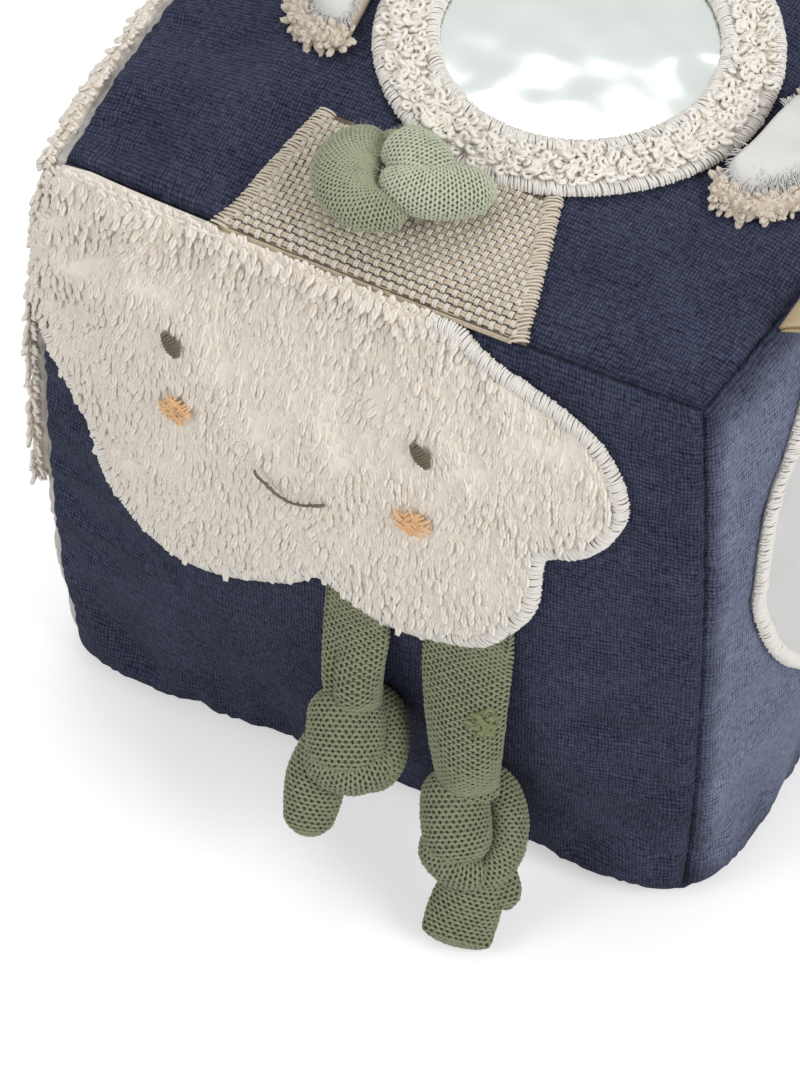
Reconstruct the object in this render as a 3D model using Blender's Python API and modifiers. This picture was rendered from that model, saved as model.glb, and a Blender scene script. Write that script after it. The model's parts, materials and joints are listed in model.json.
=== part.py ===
"""Soft fabric block: a stuffed cloth cube with a terry cloud whose knitted legs hang down in front.

A padded circle is sewn on the right, a terry patch on the left, and on the top a round-headed animal with a
mirror, ears and a knitted bow.

Metres, +Z up. The origin is the middle of the flat face that the block rests on. The cloud faces -Y.
"""
import math

import bmesh
import bpy
from mathutils import Matrix, Vector

MM = 0.001

# The stuffed cube. Its sides bulge from the sewn edges, and its corners are drawn in.
HALF_CORNER = 70.6 * MM
EDGE_BOW = 3.2 * MM
UPRIGHT_BOW = 4.2 * MM
CROWN = 2.8 * MM
SEAM_SHOULDER = 2.6 * MM
SHOULDER_RUN = 5.0 * MM
CENTRE_HEIGHT = 72.0 * MM
TOP_CORNER_RISE = 71.2 * MM
TOP_BOW = 2.2 * MM
TOP_CROWN = 4.0 * MM
SEAM_LIFT = 2.0 * MM
SLUMP = 5.5 * MM
SWELL_POWER = 2.2
FLAT_SHARE = 0.81
PANEL_STEPS = 10
PANEL_THICKNESS = 2.4 * MM

# Clearances between pieces that touch on the real block.
SEAM_GAP = 0.3 * MM
LAYER_GAP = 0.35 * MM
CORE_GAP = 0.4 * MM
BALL_GAP = 0.6 * MM
MERGE_DISTANCE = 0.01 * MM

# The rattle in the middle of the filling.
RATTLE_RADIUS = 16.0 * MM
RATTLE_WALL = 1.4 * MM
RATTLE_BALL_RADIUS = 5.0 * MM

# Patches and their stitched borders.
TERRY_THICKNESS = 3.2 * MM
COTTON_THICKNESS = 1.6 * MM
COTTON_CROWN = 4.5 * MM
WOVEN_THICKNESS = 1.2 * MM
MIRROR_THICKNESS = 1.2 * MM
BORDER_RADIUS = 1.6 * MM
WOVEN_BORDER_RADIUS = 1.3 * MM
MITRE_LIMIT_SHARE = 0.6

# The cloud's outline on the front panel, as shares across and up from the panel's middle. It runs from the
# top seam round the right side and the hem to the left seam.
CLOUD_FREE_SHARES = [
    (0.312, 0.985), (0.355, 0.965), (0.425, 0.942), (0.511, 0.916), (0.621, 0.884), (0.710, 0.840),
    (0.765, 0.776), (0.802, 0.690), (0.806, 0.598), (0.777, 0.521), (0.727, 0.452), (0.666, 0.401),
    (0.610, 0.390), (0.578, 0.372), (0.572, 0.300), (0.571, 0.229), (0.550, 0.150), (0.487, 0.049),
    (0.411, -0.037), (0.301, -0.062), (0.211, -0.082), (0.122, -0.074), (0.045, -0.048), (-0.015, -0.006),
    (-0.066, 0.012), (-0.124, -0.056), (-0.186, -0.089), (-0.307, -0.148), (-0.402, -0.178),
    (-0.498, -0.184), (-0.593, -0.152), (-0.688, -0.089), (-0.768, 0.004), (-0.832, 0.121),
    (-0.876, 0.249), (-0.925, 0.330), (-0.968, 0.395),
]
CLOUD_SEWN_SHARES = [
    (-0.980, 0.52), (-0.980, 0.66), (-0.980, 0.80), (-0.980, 0.91), (-0.965, 0.97), (-0.90, 0.985),
    (-0.75, 0.985), (-0.58, 0.985), (-0.40, 0.985), (-0.22, 0.985), (-0.04, 0.985), (0.10, 0.985),
    (0.20, 0.985),
]
CLOUD_MIDDLE_SHARES = (-0.10, 0.40)
EYE_PLACE_SHARES = {"left_eye": (-0.527, 0.627), "right_eye": (0.227, 0.598)}
CHEEK_PLACE_SHARES = {"left_cheek": (-0.491, 0.412), "right_cheek": (0.217, 0.369)}
SMILE_SHARES = [(-0.226, 0.328), (-0.170, 0.290), (-0.110, 0.280), (-0.041, 0.315)]
EYE_HALF_WIDTH = 1.9 * MM
EYE_HALF_HEIGHT = 2.85 * MM
EYE_TURN = math.radians(12.0)
CHEEK_HALF_WIDTH = 4.2 * MM
CHEEK_HALF_HEIGHT = 3.05 * MM
EMBROIDERY_THICKNESS = 0.8 * MM
SMILE_RADIUS = 0.6 * MM

# The legs. Each hangs from the cloud's hem, square to it, and runs through a thigh, a knot and a foot.
LEG_ROOT_HALF_DEPTH = 1.6 * MM
LEG_NECK_HALF_DEPTH = 2.2 * MM
LEG_NECK_RUN = 4.0 * MM
LEG_HALF_DEPTH = 6.2 * MM
LEG_CLEARANCE = 0.4 * MM
HIP_DROP = 2.8 * MM
LEGS = {
    "left": {
        "hip_share": 0.064, "hip_up_share": -0.060, "hip_lean": math.radians(8.0),
        "hip_half_width": 8.2 * MM, "thigh_half_width": 7.0 * MM, "shin_half_width": 6.2 * MM,
        "knot_radius": 12.2 * MM, "knot_width_share": 0.78, "knot_step": 2.4 * MM, "knot_drop": 26.3 * MM,
        "foot_half_width": 5.8 * MM, "ankle_step": -6.6 * MM, "ankle_drop": 10.0 * MM,
        "toe_step": -9.8 * MM, "toe_drop": 29.0 * MM, "toe_reach": 4.0 * MM,
    },
    "right": {
        "hip_share": 0.386, "hip_up_share": -0.056, "hip_lean": math.radians(-6.0),
        "hip_half_width": 9.9 * MM, "thigh_half_width": 8.5 * MM, "shin_half_width": 6.9 * MM,
        "knot_radius": 14.0 * MM, "knot_width_share": 0.68, "knot_step": 3.5 * MM, "knot_drop": 40.1 * MM,
        "foot_half_width": 8.2 * MM, "ankle_step": 2.6 * MM, "ankle_drop": 12.0 * MM,
        "toe_step": -0.6 * MM, "toe_drop": 21.4 * MM, "toe_reach": 10.0 * MM,
    },
}

# The padded circle on the right panel.
CIRCLE_RADIUS = 50.5 * MM
CIRCLE_PLACE_SHARES = (-0.168, 0.245)

# The animal on the top panel: woven body, ring head, mirror, ears and bow.
BODY_FRONT_SHARES = (-0.485, 0.478)
BODY_REAR_SHARES = (-0.372, 0.345)
BODY_REAR_UP_SHARE = -0.60
BODY_EDGE_SHARE = -0.984
BODY_MIDDLE_SHARES = (0.0, -0.80)
HEAD_PLACE_SHARES = (0.125, -0.068)
HEAD_RADIUS = 40.0 * MM
HEAD_RING_WIDTH = 13.0 * MM
HEAD_HOLE_RADIUS = HEAD_RADIUS - HEAD_RING_WIDTH
MIRROR_TUCK = 5.0 * MM
MIRROR_RADIUS = HEAD_HOLE_RADIUS + MIRROR_TUCK
EAR_HALF_LENGTH = 18.5 * MM
EAR_HALF_WIDTH = 12.5 * MM
EAR_TURN = math.radians(7.0)
EAR_STEP_OUT = 6.0 * MM
EAR_OUT = HEAD_RADIUS + EAR_STEP_OUT
EAR_DROOP = 1.5 * MM
EAR_THICKNESS = 4.2 * MM
EAR_ROOT_THICKNESS = 1.4 * MM
EAR_TAPER_RUN = 5.0 * MM
PLUSH_INSET = 4.6 * MM
PLUSH_HEIGHT = 5.5 * MM
BOW_ACROSS_SHARE = -0.120
BOW_STEP_OUT = 3.3 * MM
BOW_KNOT_RADIUS = 3.2 * MM
BOW_LOBES = {
    "bow_left_lobe": {"turn": math.radians(-98.0), "length": 18.0 * MM},
    "bow_right_lobe": {"turn": math.radians(-15.0), "length": 18.5 * MM},
}
BOW_HALF_WIDTH = 8.8 * MM
BOW_HALF_DEPTH = 4.6 * MM

# The terry patch on the left panel, as shares across and up from the panel's middle.
LEFT_PATCH_SHARES = [
    (-0.92, -0.36), (-0.70, -0.40), (-0.45, -0.43), (-0.20, -0.43), (0.05, -0.40), (0.30, -0.32),
    (0.52, -0.16), (0.66, 0.04), (0.72, 0.28), (0.70, 0.52), (0.62, 0.74), (0.50, 0.90), (0.36, 0.955),
]
LEFT_PATCH_SEWN_SHARES = [
    (0.18, 0.965), (0.0, 0.965), (-0.2, 0.965), (-0.4, 0.965), (-0.6, 0.965), (-0.8, 0.965), (-0.93, 0.95),
    (-0.955, 0.85), (-0.955, 0.67), (-0.955, 0.5), (-0.955, 0.33), (-0.955, 0.16), (-0.955, 0.0),
    (-0.955, -0.17), (-0.955, -0.28),
]
LEFT_PATCH_MIDDLE_SHARES = (-0.15, 0.30)

# The folded tab in the seam between the top and right panels.
LABEL_PLACE_SHARE = -0.52
LABEL_WIDTH = 20.0 * MM
LABEL_LENGTH = 14.0 * MM
LABEL_THICKNESS = 1.2 * MM
LABEL_RISE = math.radians(35.0)
LABEL_DROOP = 4.0 * MM

# How far out the rings of points lie on a large, a middling and a small sewn-on pad.
LARGE_RING_SHARES = (0.0, 0.40, 0.72, 0.86, 0.96, 1.0)
MIDDLE_RING_SHARES = (0.0, 0.55, 0.95, 1.0)
SMALL_RING_SHARES = (0.0, 0.85, 1.0)


def swell(share):
    """One in the middle of a side, nothing at its sewn edges."""
    return 1.0 - abs(share) ** SWELL_POWER


def shoulder(share):
    """How far the cloth has risen out of the seam, from nothing at the seam to one."""
    return 1.0 - math.exp((abs(share) - 1.0) * HALF_CORNER / SHOULDER_RUN)


def flat_rest(share):
    """One over the flat middle of the resting face, nothing at its seams."""
    past = max(0.0, (abs(share) - FLAT_SHARE) / (1.0 - FLAT_SHARE))
    return 1.0 - past * past


def slumped(across, up):
    """How the filling's weight pushes a side out low down, a little in from its corners."""
    return across * across * (1.0 - across ** 8) * max(0.0, -up) ** 3


def side_reach(across, up):
    return (HALF_CORNER + EDGE_BOW * swell(across) + UPRIGHT_BOW * swell(up)
            + CROWN * swell(across) * swell(up) + SEAM_SHOULDER * shoulder(across) * shoulder(up)
            + SLUMP * slumped(across, up))


def top_reach(across, back):
    return (TOP_CORNER_RISE + TOP_BOW * (swell(across) + swell(back))
            + TOP_CROWN * swell(across) * swell(back) + SEAM_SHOULDER * shoulder(across) * shoulder(back))


def bottom_reach(across, back):
    return CENTRE_HEIGHT - SEAM_LIFT + SEAM_LIFT * flat_rest(across) * flat_rest(back)


def pillow(x, y, z):
    """Turn a point of a cube of half size one into the same point of the stuffed block."""
    size = max(abs(x), abs(y), abs(z))
    if size == 0.0:
        return Vector((0.0, 0.0, CENTRE_HEIGHT))
    u, v, w = x / size, y / size, z / size
    rise = w * (top_reach(u, v) if w > 0.0 else bottom_reach(u, v))
    return Vector((u * side_reach(v, w) * size, v * side_reach(u, w) * size, CENTRE_HEIGHT + rise * size))


def on_front(across, up, height=0.0):
    return pillow(across, -1.0, up) + Vector((0.0, -height, 0.0))


def on_right(across, up, height=0.0):
    return pillow(1.0, across, up) + Vector((height, 0.0, 0.0))


def on_left(across, up, height=0.0):
    return pillow(-1.0, across, up) + Vector((-height, 0.0, 0.0))


def on_top(across, back, height=0.0):
    return pillow(across, back, 1.0) + Vector((0.0, 0.0, height))


SIDE_SCALE = side_reach(0.0, 1.0)
UPRIGHT_SCALES = (side_reach(1.0, 0.0), top_reach(1.0, 0.0))


def circle_points(place_shares, half_width, half_height, count, turn=0.0, scales=(SIDE_SCALE, SIDE_SCALE)):
    """Points round an ellipse of a real size, as shares of the panel that it lies on."""
    points = []
    for index in range(count):
        angle = 2.0 * math.pi * index / count
        across, up = half_width * math.cos(angle), half_height * math.sin(angle)
        points.append((
            place_shares[0] + (across * math.cos(turn) - up * math.sin(turn)) / scales[0],
            place_shares[1] + (across * math.sin(turn) + up * math.cos(turn)) / scales[1],
        ))
    return points


def signed_area(points):
    pairs = zip(points, points[1:] + points[:1])
    return sum(a[0] * b[1] - b[0] * a[1] for a, b in pairs)


def inset_points(points, distance, closed=True):
    """Draw an outline of shares in by a real distance, square to its runs, with mitred corners."""
    count = len(points)
    step = distance / SIDE_SCALE
    inset = []
    for index, point in enumerate(points):
        here = Vector(point)
        before = here - Vector(points[index - 1])
        after = Vector(points[(index + 1) % count]) - here
        if not closed and index == 0:
            before = after
        if not closed and index == count - 1:
            after = before
        before, after = before.normalized(), after.normalized()
        square = Vector((-before.y - after.y, before.x + after.x)).normalized()
        mitre = max(MITRE_LIMIT_SHARE, square.dot(Vector((-before.y, before.x))))
        inset.append(tuple(here + square * step / mitre))
    return inset


def smoothed(points):
    """Cut the corners of a line of points, keeping its ends."""
    cut = [points[0]]
    for a, b in zip(points, points[1:]):
        cut.append((a[0] * 0.75 + b[0] * 0.25, a[1] * 0.75 + b[1] * 0.25))
        cut.append((a[0] * 0.25 + b[0] * 0.75, a[1] * 0.25 + b[1] * 0.75))
    return cut + [points[-1]]


def material(name, colour, roughness, metallic=0.0):
    made = bpy.data.materials.new(name)
    made.use_nodes = True
    shader = made.node_tree.nodes["Principled BSDF"]
    shader.inputs["Base Color"].default_value = (*colour, 1.0)
    shader.inputs["Roughness"].default_value = roughness
    shader.inputs["Metallic"].default_value = metallic
    return made


NAVY = (0.042, 0.046, 0.078)
CREAM = (0.62, 0.60, 0.56)
TERRY = (0.66, 0.57, 0.47)
THREAD = (0.78, 0.74, 0.68)
WOVEN = (0.36, 0.29, 0.21)
KNIT = (0.14, 0.16, 0.10)
PLUSH = (0.80, 0.78, 0.75)
SILVER = (0.85, 0.87, 0.86)
OLIVE = (0.12, 0.10, 0.06)
PEACH = (0.75, 0.42, 0.19)
GOLD = (0.47, 0.36, 0.17)
FOAM = (0.80, 0.80, 0.78)
PLASTIC = (0.70, 0.70, 0.70)


def add_object(name, mesh, colour, roughness=0.95, metallic=0.0):
    mesh.materials.append(material(name, colour, roughness, metallic))
    mesh.shade_smooth()
    mesh.set_sharp_from_angle(angle=math.radians(50.0))
    made = bpy.data.objects.new(name, mesh)
    parts.objects.link(made)
    return made


def mesh_from(bm, name):
    bmesh.ops.recalc_face_normals(bm, faces=bm.faces)
    if bm.calc_volume(signed=True) < 0.0:
        bmesh.ops.reverse_faces(bm, faces=bm.faces)
    mesh = bpy.data.meshes.new(name)
    bm.to_mesh(mesh)
    bm.free()
    return mesh


def hinge_at(made, origin):
    """Move a piece's own origin onto its hinge, with the piece left where it is."""
    made.data.transform(Matrix.Translation(-origin))
    made.location = origin


def graded(share):
    """Crowd evenly spaced grid lines towards a panel's seams."""
    return math.sin(share * math.pi / 2.0)


def make_panel(name, turn, colour):
    """One panel of the cover: a grid, thickened inwards, with its rims mitred to its neighbours."""
    bm = bmesh.new()
    bmesh.ops.create_grid(bm, x_segments=PANEL_STEPS, y_segments=PANEL_STEPS, size=1.0)
    outer = bmesh.ops.extrude_face_region(bm, geom=bm.faces[:])["geom"]
    outer_verts = {item for item in outer if isinstance(item, bmesh.types.BMVert)}
    reach = 1.0 - SEAM_GAP / HALF_CORNER
    inner = 1.0 - PANEL_THICKNESS / HALF_CORNER
    for vert in bm.verts:
        depth = 1.0 if vert in outer_verts else inner
        a, b = graded(vert.co.x) * reach, graded(vert.co.y) * reach
        vert.co = pillow(*(depth * part for part in turn(a, b)))
    return add_object(name, mesh_from(bm, name), colour)


def make_core():
    """The soft filling: the inside of the cover in two halves, with a round pocket between them."""
    inner = 1.0 - (PANEL_THICKNESS + CORE_GAP) / HALF_CORNER
    lines = [graded(2.0 * step / PANEL_STEPS - 1.0) for step in range(1, PANEL_STEPS, 2)]
    for name, way in (("core_lower", -1.0), ("core_upper", 1.0)):
        bm = bmesh.new()
        bmesh.ops.create_cube(bm, size=2.0)
        for axis in range(3):
            normal = Vector((0.0, 0.0, 0.0))
            normal[axis] = 1.0
            for line in lines:
                geometry = bm.verts[:] + bm.edges[:] + bm.faces[:]
                bmesh.ops.bisect_plane(bm, geom=geometry, plane_co=normal * line, plane_no=normal)
        for vert in bm.verts:
            vert.co = pillow(*(vert.co * inner))
        geometry = bm.verts[:] + bm.edges[:] + bm.faces[:]
        cut = Vector((0.0, 0.0, CENTRE_HEIGHT + way * SEAM_GAP / 2.0))
        halved = bmesh.ops.bisect_plane(bm, geom=geometry, plane_co=cut, plane_no=(0.0, 0.0, -way),
                                        clear_outer=True)
        rim = [item for item in halved["geom_cut"] if isinstance(item, bmesh.types.BMEdge)]
        bmesh.ops.edgeloop_fill(bm, edges=rim)
        half = add_object(name, mesh_from(bm, name), FOAM)
        cut_ball(half, Vector((0.0, 0.0, CENTRE_HEIGHT)), RATTLE_RADIUS + CORE_GAP)


def cut_ball(piece, centre, radius):
    """Cut a ball out of a piece, with a hidden cutter."""
    bm = bmesh.new()
    bmesh.ops.create_uvsphere(bm, u_segments=24, v_segments=12, radius=radius)
    mesh = bpy.data.meshes.new(piece.name + "_cutter")
    bm.to_mesh(mesh)
    bm.free()
    cutter = bpy.data.objects.new(piece.name + "_cutter", mesh)
    cutter.location = centre
    cutter.hide_render = True
    cutter.display_type = "WIRE"
    cutters.objects.link(cutter)
    cut = piece.modifiers.new("ball cut", "BOOLEAN")
    cut.operation = "DIFFERENCE"
    cut.solver = "EXACT"
    cut.object = cutter


def arc(radius, start, end, steps):
    """Points on an arc round the origin, from one height angle to another."""
    angles = [start + (end - start) * step / steps for step in range(steps + 1)]
    return [(radius * math.cos(angle), radius * math.sin(angle)) for angle in angles]


def make_rattle():
    """A two-part round shell with a loose ball lying in it."""
    centre = Vector((0.0, 0.0, CENTRE_HEIGHT))
    lip = math.asin(SEAM_GAP / 2.0 / RATTLE_RADIUS)
    inner = RATTLE_RADIUS - RATTLE_WALL
    quarter = math.pi / 2.0
    profiles = {
        "rattle_shell_upper": arc(RATTLE_RADIUS, quarter, lip, 6) + arc(inner, lip, quarter, 6),
        "rattle_shell_lower": arc(inner, -quarter, -lip, 6) + arc(RATTLE_RADIUS, -lip, -quarter, 6),
    }
    for name, profile in profiles.items():
        mesh = bpy.data.meshes.new(name)
        edges = [(index, index + 1) for index in range(len(profile) - 1)]
        mesh.from_pydata([(x, 0.0, z) for x, z in profile], edges, [])
        shell = add_object(name, mesh, PLASTIC, 0.4)
        shell.location = centre
        turn = shell.modifiers.new("turned", "SCREW")
        turn.axis = "Z"
        turn.steps = turn.render_steps = 16
        turn.use_merge_vertices = True
        turn.merge_threshold = MERGE_DISTANCE
    bm = bmesh.new()
    bmesh.ops.create_uvsphere(bm, u_segments=10, v_segments=6, radius=RATTLE_BALL_RADIUS)
    ball = add_object("rattle_ball", mesh_from(bm, "rattle_ball"), PLASTIC, 0.3)
    rest = inner - RATTLE_BALL_RADIUS - BALL_GAP
    ball.location = centre - Vector((0.0, 0.0, rest))


def make_pad(name, outline, middle, place, colour, thickness, crown=0.0, lift=LAYER_GAP,
             ring_shares=LARGE_RING_SHARES, roughness=0.95):
    """A sewn-on pad: a ball flattened onto the block, its equator drawn out to the pad's outline."""
    rings = len(ring_shares) - 1
    if signed_area(outline) < 0.0:
        outline = outline[::-1]
    bm = bmesh.new()
    bmesh.ops.create_uvsphere(bm, u_segments=len(outline), v_segments=2 * rings, radius=1.0)
    for vert in bm.verts:
        ring = round(rings * (1.0 - abs(math.asin(max(-1.0, min(1.0, vert.co.z)))) / (math.pi / 2.0)))
        sector = round(math.atan2(vert.co.y, vert.co.x) / (2.0 * math.pi) * len(outline)) % len(outline)
        share = ring_shares[ring]
        across = middle[0] + (outline[sector][0] - middle[0]) * share
        up = middle[1] + (outline[sector][1] - middle[1]) * share
        upper = thickness + crown * (1.0 - share * share)
        if ring == rings:
            height = lift + thickness / 2.0
        elif vert.co.z > 0.0:
            height = lift + upper
        else:
            height = lift
        vert.co = place(across, up, height)
    return add_object(name, mesh_from(bm, name), colour, roughness)


def make_band(name, middle, inner_radius, outer_radius, place, colour, thickness, lift):
    """A flat ring sewn on: a torus pressed to a band of even thickness."""
    bpy.ops.mesh.primitive_torus_add(major_segments=36, minor_segments=6, major_radius=1.0,
                                     minor_radius=0.25)
    made = bpy.context.active_object
    mesh = made.data
    bpy.data.objects.remove(made)
    half = (outer_radius - inner_radius) / 2.0
    for vert in mesh.vertices:
        across, up, rise = vert.co
        angle = math.atan2(up, across)
        section = math.atan2(rise, math.hypot(across, up) - 1.0)
        out = math.copysign(abs(math.cos(section)) ** 0.4, math.cos(section))
        high = math.copysign(abs(math.sin(section)) ** 0.4, math.sin(section))
        radius = (inner_radius + half + half * out) / SIDE_SCALE
        vert.co = place(middle[0] + radius * math.cos(angle), middle[1] + radius * math.sin(angle),
                        lift + thickness * (high + 1.0) / 2.0)
    mesh.name = name
    return add_object(name, mesh, colour)


def make_border(name, outline, place, radius, colour, closed, lift=LAYER_GAP, sides=1, ends=True):
    """A stitched border or a line of thread: a round bead that follows an outline on the block."""
    curve = bpy.data.curves.new(name, "CURVE")
    curve.dimensions = "3D"
    curve.bevel_depth = radius
    curve.bevel_resolution = sides
    curve.use_fill_caps = True
    line = curve.splines.new("POLY")
    line.points.add(len(outline) - 1)
    for point, (across, up) in zip(line.points, outline):
        point.co = (*place(across, up, lift + radius), 1.0)
    line.use_cyclic_u = closed
    if ends and not closed:
        line.points[0].radius = line.points[-1].radius = 0.75
    return curve_to_part(name, curve, colour)


def curve_to_part(name, curve, colour):
    """Turn a bevelled curve into a closed mesh part and clear the curve away."""
    guide = bpy.data.objects.new(name + "_curve", curve)
    cutters.objects.link(guide)
    bpy.context.view_layer.update()
    mesh = bpy.data.meshes.new_from_object(guide.evaluated_get(bpy.context.evaluated_depsgraph_get()))
    bpy.data.objects.remove(guide)
    bm = bmesh.new()
    bm.from_mesh(mesh)
    bmesh.ops.remove_doubles(bm, verts=bm.verts, dist=MERGE_DISTANCE)
    bpy.data.meshes.remove(mesh)
    return add_object(name, mesh_from(bm, name), colour)


def between(stations, share):
    """The value at a share of the way along a list of stations, eased from one to the next."""
    place = share * (len(stations) - 1)
    index = min(int(place), len(stations) - 2)
    part = place - index
    before = stations[max(index - 1, 0)]
    start, end = stations[index], stations[index + 1]
    after = stations[min(index + 2, len(stations) - 1)]
    rise_in, rise_out = (end - before) / 2.0, (after - start) / 2.0
    square, cube = part * part, part * part * part
    return (start * (2.0 * cube - 3.0 * square + 1.0) + rise_in * (cube - 2.0 * square + part)
            + end * (3.0 * square - 2.0 * cube) + rise_out * (cube - square))


def make_limb(name, path, half_widths, half_depths, width_way, colour, origin, sectors=10, rings=9):
    """A stuffed tube: a ball drawn out along a path, with its own width and depth at each station."""
    bm = bmesh.new()
    bmesh.ops.create_uvsphere(bm, u_segments=sectors, v_segments=rings, radius=1.0)
    nudge = 0.01
    for vert in bm.verts:
        angle = math.atan2(vert.co.y, vert.co.x)
        share = 0.5 - math.asin(max(-1.0, min(1.0, vert.co.z))) / math.pi
        centre = between(path, share)
        run = between(path, min(1.0, share + nudge)) - between(path, max(0.0, share - nudge))
        depth_way = run.cross(width_way).normalized()
        side_way = depth_way.cross(run).normalized()
        pole = share <= nudge or share >= 1.0 - nudge
        width = 0.0 if pole else between(half_widths, share)
        depth = 0.0 if pole else between(half_depths, share)
        out = side_way * width * math.cos(angle) + depth_way * depth * math.sin(angle)
        vert.co = centre + out - origin
    made = add_object(name, mesh_from(bm, name), colour)
    made.location = origin
    return made


def make_knot(name, centre, radius, width_share, turn, colour):
    """The knot in a leg: a ball with the crease where one turn of the tube crosses the other."""
    crease_share, crease_width = 0.16, 0.30
    crease_way = Vector((math.cos(turn), math.sin(turn) / 2.0, math.sin(turn))).normalized()
    bm = bmesh.new()
    bmesh.ops.create_uvsphere(bm, u_segments=14, v_segments=10, radius=1.0)
    for vert in bm.verts:
        across = vert.co.normalized().dot(crease_way)
        dip = crease_share * math.exp(-((across - crease_width / 2.0) / crease_width) ** 2)
        shape = vert.co * radius * (1.0 - dip)
        vert.co = Vector((shape.x * width_share, shape.y * width_share, shape.z))
    made = add_object(name, mesh_from(bm, name), colour)
    made.location = centre
    return made


def clear_of_front(point, half_depth):
    """Bring a leg's middle out until its back hangs just clear of the front panel."""
    heights = (point.z - half_depth, point.z, point.z + half_depth)
    front = min(on_front(point.x / SIDE_SCALE, (height - CENTRE_HEIGHT) / TOP_CORNER_RISE).y
                for height in heights)
    return Vector((point.x, min(point.y, front - half_depth - LEG_CLEARANCE), point.z))


def make_leg(side, leg):
    """One knitted leg: thigh, knot and foot. Thigh and foot are hollowed round the knot between them."""
    hem = on_front(leg["hip_share"], leg["hip_up_share"])
    hip = Vector((hem.x, hem.y - LAYER_GAP - TERRY_THICKNESS / 2.0, hem.z - HIP_DROP))
    radius = leg["knot_radius"]
    below = hip + Vector((leg["knot_step"], 0.0, -leg["knot_drop"]))
    knot = clear_of_front(below, radius * leg["knot_width_share"])
    neck_way = Vector((-math.sin(leg["hip_lean"]), 0.0, -math.cos(leg["hip_lean"])))
    neck = clear_of_front(hip + neck_way * LEG_NECK_RUN, LEG_NECK_HALF_DEPTH)
    thigh = clear_of_front(hip.lerp(knot, 0.5), LEG_HALF_DEPTH)
    shin = clear_of_front(thigh.lerp(knot, 0.5), LEG_HALF_DEPTH)
    widths = [leg["hip_half_width"], leg["hip_half_width"], leg["thigh_half_width"], leg["shin_half_width"],
              leg["shin_half_width"] * 0.8]
    depths = [LEG_ROOT_HALF_DEPTH, LEG_NECK_HALF_DEPTH, LEG_HALF_DEPTH, LEG_HALF_DEPTH * 0.9,
              LEG_HALF_DEPTH * 0.75]
    across_way = Vector((1.0, 0.0, 0.0))
    made = make_limb(side + "_leg", [hip, neck, thigh, shin, knot], widths, depths, across_way, KNIT, hip)
    cut_ball(made, knot, radius + BALL_GAP)
    make_knot(side + "_knot", knot, radius, leg["knot_width_share"], math.radians(28.0), KNIT)
    ankle = knot + Vector((leg["ankle_step"], -leg["toe_reach"] * 0.3, -leg["ankle_drop"]))
    toe = knot + Vector((leg["toe_step"], -leg["toe_reach"], -leg["toe_drop"]))
    foot_path = [knot.lerp(ankle, 0.5), ankle, ankle.lerp(toe, 0.5), ankle.lerp(toe, 0.8), toe]
    foot_widths = [leg["foot_half_width"] * share for share in (0.8, 0.9, 1.0, 0.86, 0.5)]
    foot_depths = [width * 0.95 for width in foot_widths]
    foot = make_limb(side + "_foot", foot_path, foot_widths, foot_depths, across_way, KNIT, knot)
    cut_ball(foot, knot, radius + BALL_GAP)


def make_ear(side, way):
    """One ear: an oval terry pad that stands out from the head's edge, with a long-pile dome on it."""
    hinge_share = (HEAD_RADIUS + LAYER_GAP + EAR_ROOT_THICKNESS) / SIDE_SCALE
    out_way = Vector((way * math.cos(EAR_TURN), -math.sin(EAR_TURN)))
    head = Vector(HEAD_PLACE_SHARES)
    place = head + out_way * EAR_OUT / SIDE_SCALE
    hinge = on_top(*(head + out_way * hinge_share), LAYER_GAP)

    def past_hinge(point):
        return ((Vector(point) - head).dot(out_way) - hinge_share) * SIDE_SCALE

    def on_level(across, back, height):
        """The ear is thin where it is sewn under the head's border, thick further out, and droops."""
        point = on_top(across, back)
        out = max(0.0, past_hinge((across, back)))
        root = EAR_ROOT_THICKNESS / EAR_THICKNESS
        full = root + (1.0 - root) * min(1.0, out / EAR_TAPER_RUN)
        droop = EAR_DROOP * (out / (2.0 * EAR_HALF_WIDTH)) ** 2
        return Vector((point.x, point.y, hinge.z - droop + height * full))

    def oval(inset, start, count):
        """Points round the ear, cut off straight a given way out from its hinge."""
        points = []
        half_width, half_length = EAR_HALF_WIDTH - inset, EAR_HALF_LENGTH - inset
        for point in circle_points(place, half_width, half_length, count, -way * EAR_TURN):
            short = max(0.0, start - past_hinge(point))
            points.append(tuple(Vector(point) + out_way * short / SIDE_SCALE))
        return points

    ear = make_pad(side + "_ear", oval(0.0, 0.0, 20), place, on_level, TERRY, EAR_THICKNESS, lift=0.0,
                   ring_shares=MIDDLE_RING_SHARES)
    plush_place = place + out_way * PLUSH_INSET / 2.0 / SIDE_SCALE
    plush = make_pad(side + "_ear_plush", oval(PLUSH_INSET, PLUSH_INSET, 16), plush_place, on_level, PLUSH,
                     EMBROIDERY_THICKNESS, PLUSH_HEIGHT, LAYER_GAP + EAR_THICKNESS, MIDDLE_RING_SHARES)
    for piece in (ear, plush):
        hinge_at(piece, hinge)


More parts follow.
